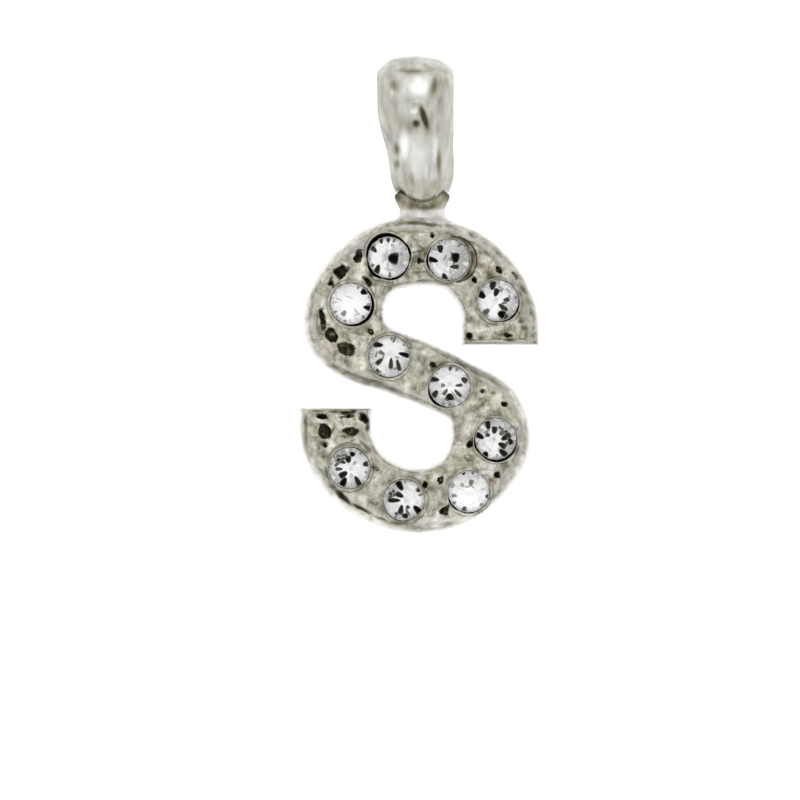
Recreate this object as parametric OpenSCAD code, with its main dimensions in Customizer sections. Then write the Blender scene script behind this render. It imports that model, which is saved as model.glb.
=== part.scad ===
// Initial pendant: a cast capital letter set with ten round stones, on a short neck under a looped bail.
// X runs across the letter, -Y is its face and Z is up. The origin is the inside top of the bail.

/* [Letter] */
// Height of the letter
letter_h = 15.1; // [14:0.1:17.5]
// Width of the stroke, as a share of the letter's height
stroke_share = 0.2185; // [0.205:0.0005:0.235]
// Radius of the upper bowl, to the middle of the stroke, as a share of the letter's height
upper_bowl_share = 0.249; // [0.24:0.0005:0.26]
// Radius of the lower bowl, to the middle of the stroke, as a share of the letter's height
lower_bowl_share = 0.2457; // [0.24:0.0005:0.26]
// How far the lower bowl lies to the left of the upper one, as a share of the letter's height
bowl_shift_share = 0.0272; // [0:0.0005:0.05]
// How far the middle between the bowls lies to the left of the origin, as a share of the letter's height
bowls_left_share = 0.0053; // [0:0.0005:0.013]
// Radius of the shoulders that turn from the bowls into the spine, as a share of the letter's height
shoulder_share = 0.1483; // [0.135:0.0005:0.16]
// Slope of the spine below the horizontal, in degrees
spine_slope = 22.5; // [18:0.5:27]
// How far the spine lies above the middle between the bowls, as a share of the letter's height
spine_lift_share = 0.0146; // [0:0.0005:0.026]
// Straight run at each free end of the stroke, as a share of the letter's height
end_run_share = 0.0457; // [0.033:0.0005:0.066]
// Thickness of the letter, from its flat back to the crest of its border
letter_t = 2.0; // [1.8:0.05:2.6]
// Width of the rounded border round the outside of the bowls
border_w = 0.74; // [0.5:0.02:0.9]
// Width of the border round the two counters
counter_border_w = 0.42; // [0.3:0.02:0.6]
// Width of the thin rim along the two free ends
end_rim_w = 0.22; // [0.15:0.01:0.35]
// Length over which the two free ends round off
end_round = 0.1; // [0.06:0.01:0.14]
// Length of the slope from that rim down to the field
rim_slope = 0.09; // [0.05:0.01:0.15]
// Depth of the rough field below the crest of the border
field_drop = 0.13; // [0.05:0.01:0.25]
// Bevel along the edges of the back
back_bevel = 0.1; // [0.05:0.01:0.2]

/* [Stones] */
// Diameter of a stone
stone_d = 2.0; // [1.6:0.05:2.3]
// Width across the corners of a stone's table
table_d = 1.1; // [0.9:0.05:1.3]
// Height of the crown above the girdle
crown_h = 0.4; // [0.3:0.02:0.5]
// Thickness of the girdle
girdle_h = 0.06; // [0.03:0.01:0.1]
// Depth of the pavilion below the girdle
pavilion_h = 0.95; // [0.8:0.05:1.2]
// Depth of the top of the girdle below the crest of the border
girdle_sink = 0.12; // [0.05:0.01:0.25]
// Clearance between a stone and its cup
cup_gap = 0.04; // [0.02:0.01:0.08]
// Width of the raised collar round a cup
collar_w = 0.13; // [0.08:0.01:0.2]
// Depth of the collars' tops below the crest of the border
collar_sink = 0.03; // [0.01:0.01:0.06]

/* [Casting marks] */
// Depth of the black pits below the field
pit_depth = 0.34; // [0.1:0.02:0.6]
// Height of the small ridges above the field
ridge_h = 0.07; // [0.03:0.01:0.12]
// Width of the small ridges at their foot
ridge_w = 0.16; // [0.1:0.01:0.25]

/* [Neck] */
// Width of the neck
neck_w = 2.1; // [1.6:0.05:2.3]
// Thickness of the neck from front to back
neck_t = 1.4; // [0.9:0.05:1.5]
// Height of the neck between the letter and the bail
neck_h = 0.44; // [0.3:0.02:1.0]
// How much wider the neck's block is on each side, where it carries the bail's foot
neck_block = 0.33; // [0.2:0.01:0.5]
// Depth of the block's top below the bail's hole
neck_play = 0.14; // [0.08:0.02:0.3]
// Radius of the flare where the neck meets the letter
neck_flare = 0.2; // [0.1:0.01:0.3]
// How far the neck lies to the right of the letter's middle
neck_shift = 0.14; // [-0.2:0.01:0.3]

/* [Bail] */
// Width of the bail across its shoulders
bail_w = 3.64; // [3.0:0.02:4.2]
// Thickness of the bail's band
bail_t = 0.9; // [0.7:0.02:1.1]
// Radius of the round top of the bail's hole
bail_hole_r = 1.35; // [1.1:0.02:1.8]
// Radius of the narrow foot of the bail's hole
bail_foot_r = 0.2; // [0.1:0.01:0.35]
// Height of the bail's hole
bail_hole_h = 5.5; // [4.8:0.05:6.5]
// How far the bail's top lies to the left of its foot
bail_top_shift = 0.33; // [0:0.01:0.5]
// Height of the grooves at the top and foot of the bail's panel, as a share of its thickness
groove_share = 0.82; // [0.75:0.01:0.95]

/* [Hidden] */
metal_colour = [0.72, 0.71, 0.66];
stone_colour = [0.9, 0.93, 0.95, 0.8];

// Half-widths of the stroke: [share of its length, left side, right side], sides as shares of half_w.
// The stroke starts at the upper free end, and its left side there faces the upper counter.
STROKE = [
    [0.000, 1.12, 1.12], [0.030, 1.13, 1.12], [0.060, 1.03, 1.08], [0.100, 0.97, 1.02],
    [0.140, 0.91, 1.01], [0.190, 0.96, 0.96], [0.230, 0.97, 1.04], [0.275, 0.88, 1.10],
    [0.310, 0.97, 1.12], [0.340, 1.01, 1.25], [0.370, 1.00, 1.37], [0.390, 0.97, 1.29],
    [0.410, 0.94, 1.10], [0.440, 0.88, 0.95], [0.480, 0.90, 0.90], [0.530, 0.87, 0.88],
    [0.570, 0.82, 0.93], [0.610, 1.09, 1.07], [0.650, 1.22, 1.10], [0.690, 1.12, 0.99],
    [0.730, 1.06, 0.89], [0.790, 0.97, 0.92], [0.850, 0.91, 0.97], [0.900, 0.97, 0.97],
    [0.950, 1.05, 1.01], [1.000, 1.05, 1.05]
];
// Shares of the stroke's length at the letter's highest and lowest points
top_share = 0.2;
foot_share = 0.8;

// Side of the stroke: [share of the border's width in from the edge, share of the letter's thickness].
EDGE = [[0, 0.42], [0.1, 0.65], [0.32, 0.86], [0.66, 1]];
// Height of the edge of the two free ends, as a share of the letter's thickness
end_edge_share = 0.8;
// Shares of the stroke's length between which the broad border passes from its right side to its left
swap_from_share = 0.42;
swap_to_share = 0.58;

// Stones: [share of the stroke's length, offset to the left as a share of half_w, turn, lean].
STONES = [
    [0.0625, -0.07, 10, 2], [0.158, 0.11, 31, 3], [0.249, -0.02, 4, 2], [0.339, 0.04, 20, 1],
    [0.447, 0.09, 38, 2], [0.544, -0.04, 0, 3], [0.648, 0.19, 26, 2], [0.726, 0.30, 15, 1],
    [0.816, -0.01, 41, 3], [0.910, 0.01, 8, 2]
];
// Turn of each stone's lean from that of the stone before, in degrees
lean_step_angle = 137;
// Radius at which a pavilion's two rows of facets meet, as a share of the girdle's
belly_share = 0.42;

// Pits: [share of the length, offset to the left, length, width, turn from the stroke, corners].
// Offset, length and width are shares of half_w.
PITS = [
    [0.281, -0.54, 0.34, 0.24, 30, 5], [0.307, -0.60, 0.52, 0.42, -12, 4],
    [0.323, -0.70, 0.34, 0.22, 10, 3], [0.356, -0.78, 0.60, 0.12, 4, 4],
    [0.374, -0.63, 0.46, 0.34, 20, 5], [0.395, -0.43, 0.66, 0.44, 40, 4],
    [0.397, 0.44, 0.16, 0.12, 0, 5], [0.296, 0.17, 0.30, 0.10, 82, 4],
    [0.187, -0.45, 0.14, 0.12, 0, 5], [0.204, 0.29, 0.20, 0.16, 0, 3],
    [0.0975, -0.53, 0.16, 0.10, 0, 5], [0.107, 0.20, 0.14, 0.12, 0, 5],
    [0.079, -0.83, 0.26, 0.08, 12, 4], [0.509, 0.35, 0.16, 0.12, 0, 5],
    [0.586, 0.32, 0.14, 0.12, 0, 5], [0.610, 0.60, 0.16, 0.12, 30, 5],
    [0.667, -0.50, 0.16, 0.14, 0, 5], [0.753, -0.42, 0.20, 0.14, 70, 4],
    [0.781, -0.44, 0.20, 0.10, 70, 4], [0.763, 0.44, 0.42, 0.30, 40, 3],
    [0.688, 0.60, 0.16, 0.14, 0, 5], [0.969, 0.31, 0.46, 0.42, 30, 5],
    [0.965, -0.41, 0.26, 0.52, 0, 5], [0.951, 0.40, 0.10, 0.14, 0, 4],
    [0.885, -0.53, 0.20, 0.10, 20, 4], [0.984, -0.84, 0.40, 0.14, 45, 4],
    [0.012, 0.90, 0.18, 0.16, 0, 5], [0.013, -0.25, 0.10, 0.26, 0, 4],
    [0.988, 0.42, 0.08, 0.24, 0, 4], [0.988, -0.25, 0.10, 0.40, 0, 4]
];

// Shallow wells where a cup was first drilled off its place: [stone, shift right, shift up].
// The shifts are shares of stone_d.
WELLS = [[1, 0.13, -0.06], [9, -0.04, 0.10]];
// Depth of a well, as a share of field_drop
well_share = 1.2;

// Ridges: [share of the length and offset to the left of one end, then of the other].
RIDGES = [
    [0.300, -0.78, 0.322, -0.40], [0.312, -0.80, 0.324, -0.44], [0.290, -0.30, 0.318, -0.34],
    [0.380, -0.20, 0.405, -0.78], [0.196, 0.52, 0.196, -0.05], [0.196, -0.05, 0.212, -0.45],
    [0.212, -0.20, 0.214, 0.50], [0.110, -0.60, 0.105, 0.45], [0.500, -0.50, 0.502, 0.50],
    [0.592, 0.60, 0.602, -0.55], [0.690, -0.10, 0.688, -0.60], [0.770, -0.60, 0.772, 0.62],
    [0.863, -0.60, 0.861, 0.55], [0.980, 0.66, 0.978, -0.45], [0.978, 0.04, 0.942, 0.06],
    [0.948, -0.10, 0.952, -0.72], [0.700, 0.72, 0.674, 0.80]
];

// Small cast grains: [share of the length, offset to the left, diameter].
// Offset and diameter are shares of half_w.
GRAINS = [
    [0.205, -0.36, 0.26], [0.190, 0.20, 0.20], [0.214, 0.14, 0.18], [0.112, 0.05, 0.24],
    [0.103, -0.28, 0.26], [0.083, -0.62, 0.18], [0.296, 0.05, 0.22], [0.330, -0.74, 0.16],
    [0.408, 0.20, 0.20], [0.492, 0.34, 0.24], [0.506, -0.40, 0.24], [0.594, 0.15, 0.22],
    [0.606, -0.30, 0.20], [0.690, -0.40, 0.26], [0.682, 0.50, 0.22], [0.764, 0.02, 0.22],
    [0.776, 0.40, 0.20], [0.858, 0.40, 0.24], [0.868, -0.30, 0.22], [0.944, 0.70, 0.16],
    [0.022, 0.40, 0.24], [0.024, -0.35, 0.22]
];
// How far the middle of a grain lies below the field, as a share of its radius
grain_sink_share = 0.4;

// Width of the bail, narrowing to a round tongue at its foot.
// Each row is [share of its height from the top, share of bail_w].
BAIL_WIDTH = [
    [0, 0.98], [0.2, 1], [0.39, 0.975], [0.5, 0.93], [0.6, 0.87], [0.7, 0.845], [0.8, 0.81],
    [0.87, 0.73], [0.93, 0.58], [0.97, 0.42], [1, 0.28]
];
// Face of the bail's band: [share of its half-width, height when plain, height beside the panel], heights
// as shares of bail_t.
BAIL_FACE = [
    [0, 1, 1.04], [0.3, 0.96, 1.03], [0.5, 0.89, 0.93], [0.58, 0.85, 0.74], [0.68, 0.77, 0.82],
    [0.82, 0.58, 0.68], [0.93, 0.37, 0.42], [1, 0.2, 0.2]
];
// The panel on the bail's front: [turn of the band above level, share of the panel, share of the groove].
BAIL_PANEL = [[-75, 0, 0], [-62, 0, 0.8], [-50, 1, 0], [36, 1, 0], [44, 0, 0.8], [55, 0, 0]];
// Share of the band's half-width that is flat inside the hole
bail_inside_share = 0.93;
// Shares of the bail's height, from its top, between which it shifts back over the neck
shift_from_share = 0.3;
shift_to_share = 0.8;

// Sections of the stroke between its two ends
stations = 84;
// Overlap of two cuts that meet
tiny = 0.001;
// Depth to which a raised feature is sunk in the letter
lap = 0.3;
// Height of a cut above its floor, well clear of the face
cut_h = 1;
cup_r = stone_d / 2 + cup_gap;
field_h = letter_t - field_drop;
girdle_top = letter_t - girdle_sink;
half_w = letter_h * stroke_share / 2;
upper_bowl_r = letter_h * upper_bowl_share;
lower_bowl_r = letter_h * lower_bowl_share;
shoulder_r = letter_h * shoulder_share;
spine_lift = letter_h * spine_lift_share;
end_run = letter_h * end_run_share;

// The bail hangs from the origin, the neck from the bail and the letter from the neck.
bail_foot_z = -bail_hole_h - bail_t;
letter_top = bail_foot_z - neck_h;

// Centres of the two bowls, in the letter's own plane. Their outer edges reach the letter's top and foot.
upper_c = [
    letter_h * (bowl_shift_share / 2 - bowls_left_share),
    letter_top - upper_bowl_r - half_w * curve(STROKE, top_share, 2)
];
lower_c = [
    upper_c[0] - letter_h * bowl_shift_share,
    letter_top - letter_h + lower_bowl_r + half_w * curve(STROKE, foot_share, 1)
];

// The spine, and the shoulders that touch it and run inside the bowls.
spine_dir = [cos(spine_slope), -sin(spine_slope)];
spine_up = [sin(spine_slope), cos(spine_slope)];
spine_mid = (upper_c + lower_c) / 2 + spine_lift * spine_up;
upper_s = shoulder(upper_c, upper_bowl_r, 1);
lower_s = shoulder(lower_c, lower_bowl_r, -1);
upper_turn = (heading(upper_s - upper_c) + 360) % 360;
lower_turn = heading(lower_s - lower_c);
spine_from = upper_s - shoulder_r * spine_up;
spine_to = lower_s + shoulder_r * spine_up;

// Pieces of the stroke's middle line: an arc is [centre, radius, first angle, sweep], a line is
// [start, direction, length].
PIECES = [
    [upper_c + [upper_bowl_r, -end_run], [0, 1], end_run],
    [upper_c, upper_bowl_r, 0, upper_turn],
    [upper_s, shoulder_r, upper_turn, 270 - spine_slope - upper_turn],
    [spine_from, spine_dir, norm(spine_to - spine_from)],
    [lower_s, shoulder_r, 90 - spine_slope, lower_turn - 90 + spine_slope],
    [lower_c, lower_bowl_r, lower_turn, -180 - lower_turn],
    [lower_c + [-lower_bowl_r, 0], [0, 1], end_run]
];
STARTS = [for (i = [0:len(PIECES)]) sum([for (k = [0:1:i - 1]) piece_length(PIECES[k])])];
stroke_l = STARTS[len(PIECES)];

function sum(list) = len(list) == 0 ? 0 : list * [for (v = list) 1];
function smooth(t) = let (c = max(0, min(1, t))) c * c * (3 - 2 * c);
function mix(a, b, t) = a + (b - a) * t;
function heading(v) = atan2(v[1], v[0]);
function clock(a) = [cos(a), sin(a)];

// A smooth curve through column c of a table whose first column rises.
function row(table, s) = max([for (i = [0:len(table) - 2]) if (i == 0 || table[i][0] <= s) i]);
function slope(table, i, c) =
    let (a = max(i - 1, 0), b = min(i + 1, len(table) - 1))
    (table[b][c] - table[a][c]) / (table[b][0] - table[a][0]);
function curve(table, s, c) =
    let (
        i = row(table, s),
        w = table[i + 1][0] - table[i][0],
        t = (s - table[i][0]) / w,
        m = slope(table, i, c) * w,
        n = slope(table, i + 1, c) * w
    )
    mix(table[i][c], table[i + 1][c], t * t * (3 - 2 * t)) + t * (1 - t) * ((1 - t) * m - t * n);

// Centre of the circle that touches the spine and runs inside a bowl, on the bowl's side of the spine.
function shoulder(bowl_c, bowl_r, side) =
    let (
        base = spine_mid + side * shoulder_r * spine_up,
        b = base - bowl_c,
        along = b * spine_dir,
        reach = sqrt(along * along - b * b + pow(bowl_r - shoulder_r, 2))
    )
    base + (-along - side * reach) * spine_dir;

function piece_length(p) = len(p) == 3 ? p[2] : abs(p[3]) * PI / 180 * p[1];
// Point and left-hand direction at distance d along one piece.
function on_piece(p, d) =
    len(p) == 3 ? [p[0] + d * p[1], [-p[1][1], p[1][0]]]
    : let (a = p[2] + sign(p[3]) * d / p[1] * 180 / PI) [p[0] + p[1] * clock(a), -sign(p[3]) * clock(a)];
// The same at distance d along the whole stroke.
function on_stroke(d) =
    let (i = max([for (k = [0:len(PIECES) - 1]) if (k == 0 || STARTS[k] <= d) k]))
    on_piece(PIECES[i], d - STARTS[i]);
// A place on the letter's face, from its share of the length and its offset to the left.
function place(share, across) = let (q = on_stroke(share * stroke_l)) q[0] + across * half_w * q[1];
// Direction of the stroke at a share of its length.
function run_angle(share) = heading(on_stroke(share * stroke_l)[1]) - 90;

// Distances along the stroke at which its sections stand, closer together at the free ends.
end_steps = [0, end_round, end_rim_w, end_rim_w + rim_slope];
middle_step = (stroke_l - 2 * end_steps[3]) / stations;
SECTION_AT = concat(
    end_steps,
    [for (i = [1:stations - 1]) end_steps[3] + i * middle_step],
    [for (i = [3:-1:0]) stroke_l - end_steps[i]]
);

// Heights near the free ends: the rounded end face, the rim along it and the field behind the rim.
function crest_at(d) = letter_t * lookup(d, [[0, end_edge_share], [end_steps[1], 1]]);
function field_at(d) =
    min(crest_at(d), letter_t - field_drop * lookup(d, [[end_steps[2], 0], [end_steps[3], 1]]));

// One half of a section, from the back edge to the field: [distance from the middle line, height].
function half_section(half, border, d) = concat(
    [[half - back_bevel, 0], [half, back_bevel]],
    [for (e = EDGE) [half - e[0] * border, min(e[1] * letter_t, crest_at(d))]],
    [[half - border, field_at(d)]]
);
function section(d) =
    let (
        share = d / stroke_l,
        q = on_stroke(d),
        from_end = min(d, stroke_l - d),
        passed = smooth((share - swap_from_share) / (swap_to_share - swap_from_share)),
        left_border = mix(counter_border_w, border_w, passed),
        right_border = mix(border_w, counter_border_w, passed),
        left = half_section(half_w * curve(STROKE, share, 1), left_border, from_end),
        right = half_section(half_w * curve(STROKE, share, 2), right_border, from_end),
        n = len(left)
    )
    concat(
        [for (p = left) let (f = q[0] + p[0] * q[1]) [f[0], f[1], p[1]]],
        [for (k = [n - 1:-1:0]) let (p = right[k], f = q[0] - p[0] * q[1]) [f[0], f[1], p[1]]]
    );

// Stands what is drawn as [across, up, out of the back] in the letter's place.
module on_letter() {
    translate([0, letter_t / 2, 0]) rotate([90, 0, 0]) children();
}

module stroke_body() {
    rings = [for (d = SECTION_AT) section(d)];
    m = len(rings[0]);
    last = (len(rings) - 1) * m;
    polyhedron(
        points = [for (r = rings) each r],
        faces = concat(
            [for (k = [1:m - 2]) [0, k, k + 1]],
            [for (i = [0:len(rings) - 2], k = [0:m - 1])
                let (a = i * m + k, b = i * m + (k + 1) % m)
                each [[a, a + m, b + m], [a, b + m, b]]],
            [for (k = [1:m - 2]) [last, last + k + 1, last + k]]
        )
    );
}

// Places its children at stone i's girdle, turned and leaning as that stone is.
module at_stone(i) {
    s = STONES[i];
    p = place(s[0], s[1]);
    lean_way = i * lean_step_angle;
    translate([p[0], p[1], girdle_top])
        rotate([0, 0, lean_way]) rotate([s[3], 0, 0]) rotate([0, 0, s[2] - lean_way])
            children();
}

// The collar raised round a cup: a cone from its sunk foot to its top, as wide as named halfway up.
module collar() {
    rise = girdle_sink - collar_sink;
    foot_r = cup_r + collar_w * 3 / 2;
    translate([0, 0, -lap]) cylinder(h = lap + rise, r1 = foot_r, r2 = cup_r + collar_w / 2, $fn = 48);
}

// A cup, open at the front: a straight wall round the girdle and a cone under the pavilion.
module cup() {
    depth = pavilion_h + cup_gap;
    wall_h = girdle_h + cup_gap;
    translate([0, 0, -wall_h]) cylinder(h = wall_h + cut_h, r = cup_r, $fn = 48);
    translate([0, 0, -wall_h - depth]) cylinder(h = depth + tiny, r1 = cup_gap, r2 = cup_r, $fn = 48);
}

module well(w) {
    s = STONES[w[0]];
    p = place(s[0], s[1]) + stone_d * [w[1], w[2]];
    floor_h = field_h - well_share * field_drop;
    translate([p[0], p[1], floor_h]) cylinder(h = cut_h, r = cup_r + collar_w / 3, $fn = 48);
}

module pit(p) {
    c = place(p[0], p[1]);
    corners = [for (k = [0:p[5] - 1]) clock((k + 0.5) * 360 / p[5])];
    translate([c[0], c[1], field_h - pit_depth]) rotate([0, 0, run_angle(p[0]) + p[4]])
        linear_extrude(height = cut_h) polygon([for (q = corners) half_w / 2 * [p[2] * q[0], p[3] * q[1]]]);
}

module ridge(r) {
    a = place(r[0], r[1]);
    b = place(r[2], r[3]);
    translate([a[0], a[1], field_h]) rotate([0, 0, heading(b - a)]) rotate([90, 0, 90])
        linear_extrude(height = norm(b - a))
            polygon([
                [-ridge_w / 2, -lap], [ridge_w / 2, -lap], [ridge_w / 2, 0],
                [ridge_w / 6, ridge_h], [-ridge_w / 6, ridge_h], [-ridge_w / 2, 0]
            ]);
}

module grain(g) {
    c = place(g[0], g[1]);
    r = g[2] * half_w / 2;
    translate([c[0], c[1], field_h - grain_sink_share * r]) sphere(r = r, $fn = 24);
}

// The neck flares into the letter below, and bows out above into a block that carries the bail's foot.
module neck() {
    half = neck_w / 2;
    block_top = -bail_hole_h - neck_play;
    block_h = block_top - bail_foot_z;
    side = concat(
        [for (a = [0:18:90]) [half, letter_top] + neck_flare * [1 - sin(a), 1 - cos(a)]],
        [for (s = [0:0.2:1]) [half + neck_block * mix(s, sin(90 * s), 0.5), bail_foot_z + block_h * s]]
    );
    outline = concat([[half + neck_flare, letter_top - lap]], side);
    n = len(outline);
    translate([neck_shift, neck_t / 2, 0]) rotate([90, 0, 0]) linear_extrude(height = neck_t)
        polygon(concat(outline, [for (k = [n - 1:-1:0]) [-outline[k][0], outline[k][1]]]));
}

// The bail's band runs round two circles, the hole's round top and its narrow foot.
bail_span = bail_hole_h - bail_hole_r - bail_foot_r;
bail_taper = asin((bail_hole_r - bail_foot_r) / bail_span);
// Steps round the band: [turn of its outward direction above level at the front, share of the leg].
BAND = concat(
    [for (i = [0:20]) [-bail_taper + i * (180 + 2 * bail_taper) / 20, 0]],
    [for (i = [1:9]) [180 + bail_taper, i / 10]],
    [for (i = [0:8]) [180 + bail_taper + i * (180 - 2 * bail_taper) / 8, 1]],
    [for (i = [9:-1:1]) [360 - bail_taper, i / 10]]
);

function band_ring(step) =
    let (
        a = step[0],
        out = [-cos(a), sin(a)],
        inner = mix(
            [0, -bail_hole_r] + bail_hole_r * out,
            [0, -bail_hole_r - bail_span] + bail_foot_r * out,
            step[1]
        ),
        show = a > 180 ? a - 360 : a,
        panel = lookup(show, [for (r = BAIL_PANEL) [r[0], r[1]]]),
        groove = lookup(show, [for (r = BAIL_PANEL) [r[0], r[2]]]),
        face = concat(
            [for (k = [len(BAIL_FACE) - 1:-1:1]) [-BAIL_FACE[k][0], k]],
            [for (k = [0:len(BAIL_FACE) - 1]) [BAIL_FACE[k][0], k]]
        )
    )
    concat(
        [for (f = face)
            let (
                plain = BAIL_FACE[f[1]][1],
                cut = f[1] < 3 ? groove * (plain - groove_share) : 0,
                rise = mix(plain, BAIL_FACE[f[1]][2], panel) - cut
            )
            band_point(inner + bail_t * rise * out, f[0])],
        [band_point(inner, bail_inside_share), band_point(inner, -bail_inside_share)]
    );
// A point of the band: its place in the loop's plane and its share of the half-width.
function band_point(p, across) =
    let (
        drop = (bail_t - p[1]) / (bail_t - bail_foot_z),
        shifted = smooth((shift_to_share - drop) / (shift_to_share - shift_from_share)),
        middle = neck_shift - bail_top_shift * shifted,
        half = bail_w / 2 * curve(BAIL_WIDTH, max(0, min(1, drop)), 1)
    )
    [middle + across * half, p[0], p[1]];

module bail() {
    rings = [for (step = BAND) band_ring(step)];
    m = len(rings[0]);
    n = len(rings);
    polyhedron(
        points = [for (r = rings) each r],
        faces = [for (i = [0:n - 1], k = [0:m - 1])
            let (
                next = (i + 1) % n,
                a = i * m + k,
                b = i * m + (k + 1) % m,
                c = next * m + (k + 1) % m,
                d = next * m + k
            )
            each [[a, c, b], [a, d, c]]]
    );
}

module letter_setting() {
    color(metal_colour) {
        difference() {
            union() {
                on_letter() {
                    stroke_body();
                    for (i = [0:len(STONES) - 1]) at_stone(i) collar();
                    for (r = RIDGES) ridge(r);
                    for (g = GRAINS) grain(g);
                }
                neck();
                bail();
            }
            on_letter() {
                for (i = [0:len(STONES) - 1]) at_stone(i) cup();
                for (w = WELLS) well(w);
                for (p = PITS) pit(p);
            }
        }
    }
}

// A round stone: eight-sided table, eight star and eight kite facets, sixteen facets above and below the
// girdle and eight long kites down to the point. Each ring's height keeps the kites flat.
module stone(i) {
    girdle_r = stone_d / 2;
    table_r = table_d / 2;
    crown_r = (table_r + girdle_r) / 2;
    belly_r = belly_share * girdle_r;
    crown_z = crown_h * (girdle_r - crown_r * cos(22.5)) / (girdle_r - table_r);
    belly_z = -girdle_h - pavilion_h * (1 - belly_r * cos(22.5) / girdle_r);
    points = concat(
        [for (k = [0:7]) concat(table_r * clock(45 * k), crown_h)],
        [for (k = [0:7]) concat(crown_r * clock(45 * k + 22.5), crown_z)],
        [for (k = [0:15]) concat(girdle_r * clock(22.5 * k), 0)],
        [for (k = [0:15]) concat(girdle_r * clock(22.5 * k), -girdle_h)],
        [for (k = [0:7]) concat(belly_r * clock(45 * k + 22.5), belly_z)],
        [[0, 0, -girdle_h - pavilion_h]]
    );
    point = len(points) - 1;
    faces = concat(
        [[for (k = [7:-1:0]) k]],
        [for (k = [0:7])
            let (
                next = (k + 1) % 8,
                star = 8 + k,
                star_before = 8 + (k + 7) % 8,
                g = 16 + 2 * k,
                low = g + 16,
                far = 16 + 2 * next,
                belly = 48 + k,
                belly_before = 48 + (k + 7) % 8
            )
            each [
                [k, next, star],
                [k, star, g], [k, g, star_before],
                [star, g + 1, g], [star, far, g + 1],
                [g, g + 1, low + 1], [g, low + 1, low],
                [g + 1, far, far + 16], [g + 1, far + 16, low + 1],
                [low, low + 1, belly], [low + 1, far + 16, belly],
                [low, belly, point], [low, point, belly_before]
            ]]
    );
    color(stone_colour) on_letter() at_stone(i) polyhedron(points = points, faces = faces);
}

letter_setting();
for (i = [0:len(STONES) - 1]) stone(i);
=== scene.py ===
import math

import bpy
import numpy as np
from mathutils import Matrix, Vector
from mathutils.geometry import delaunay_2d_cdt


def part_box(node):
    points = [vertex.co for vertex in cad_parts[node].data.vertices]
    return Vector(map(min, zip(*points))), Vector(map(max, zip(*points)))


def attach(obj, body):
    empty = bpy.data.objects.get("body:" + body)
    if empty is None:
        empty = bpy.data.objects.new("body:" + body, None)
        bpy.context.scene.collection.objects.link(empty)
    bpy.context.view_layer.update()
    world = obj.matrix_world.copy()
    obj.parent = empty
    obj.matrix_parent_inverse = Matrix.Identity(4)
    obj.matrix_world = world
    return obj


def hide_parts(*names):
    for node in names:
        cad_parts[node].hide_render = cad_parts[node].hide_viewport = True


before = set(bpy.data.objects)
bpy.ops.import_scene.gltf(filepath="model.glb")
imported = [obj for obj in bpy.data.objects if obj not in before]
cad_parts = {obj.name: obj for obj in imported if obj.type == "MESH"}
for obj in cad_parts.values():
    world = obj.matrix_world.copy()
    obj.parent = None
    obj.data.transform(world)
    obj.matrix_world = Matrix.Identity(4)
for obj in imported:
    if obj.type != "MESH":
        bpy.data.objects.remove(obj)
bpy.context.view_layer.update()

# Driving sizes, in millimetres. The bail's thickness and the letter's height come from the letter setting's
# box in model.glb.
MM = 0.001
cad_low, cad_high = [np.array(corner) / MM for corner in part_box("letter_setting")]
bail_t = cad_high[2]
bail_hole_h = 5.5
bail_hole_r = 1.35
bail_foot_r = 0.2
bail_w = 3.64
bail_top_shift = 0.33
neck_w = 2.1
neck_t = 1.4
neck_h = 0.44
neck_block = 0.33
neck_play = 0.14
neck_flare = 0.2
neck_shift = 0.14
neck_sunk = 0.3
neck_ear_r = 0.34
neck_proud = 0.02
neck_top_round = 0.1
neck_top_h = 0.12
bail_foot_z = -bail_hole_h - bail_t
letter_top = bail_foot_z - neck_h
letter_h = letter_top - cad_low[2]
letter_t = 2.0
border_w = 0.74
counter_border_w = 0.42
end_rim_w = 0.22
end_round = 0.1
rim_slope = 0.09
rim_foot = 0.44
field_drop = 0.13
back_bevel = 0.1
field_h = letter_t - field_drop
half_w = letter_h * 0.2185 / 2
upper_bowl_r = letter_h * 0.249
lower_bowl_r = letter_h * 0.2457
bowl_shift = letter_h * 0.0272
bowls_left = letter_h * 0.0053
shoulder_r = letter_h * 0.1483
spine_lift = letter_h * 0.0146
end_run = letter_h * 0.0457
spine_slope = math.radians(22.5)
stone_d = 2.0
stone_r = stone_d / 2
table_r = 0.55
crown_h = 0.4
girdle_h = 0.06
pavilion_h = 0.95
belly_share = 0.42
girdle_top = letter_t - 0.12
cup_clear = 0.04
cup_r = stone_r + cup_clear
cup_gap = 0.004
collar_w = 0.13
collar_h = letter_t - 0.03
collar_worn = 0.09
collar_fall = 0.115
collar_lip = 0.03
pit_depth = 0.34
ridge_h = 0.07
ridge_w = 0.16
lump_size = 0.5
lump_h = 0.028
grit_size = 0.19
grit_h = 0.026
crack_h = 0.03
border_roughness = 0.28
pit_ragged = 0.055
pit_ragged_fine = 0.035
back_lump_h = 0.012
back_grit_h = 0.006
back_dimple_h = 0.035
side_lump_h = 0.012
side_grit_h = 0.006
bail_lump_h = 0.014
bail_grit_h = 0.006
edge_highlight_w = 0.1
play_full = 0.06

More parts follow.
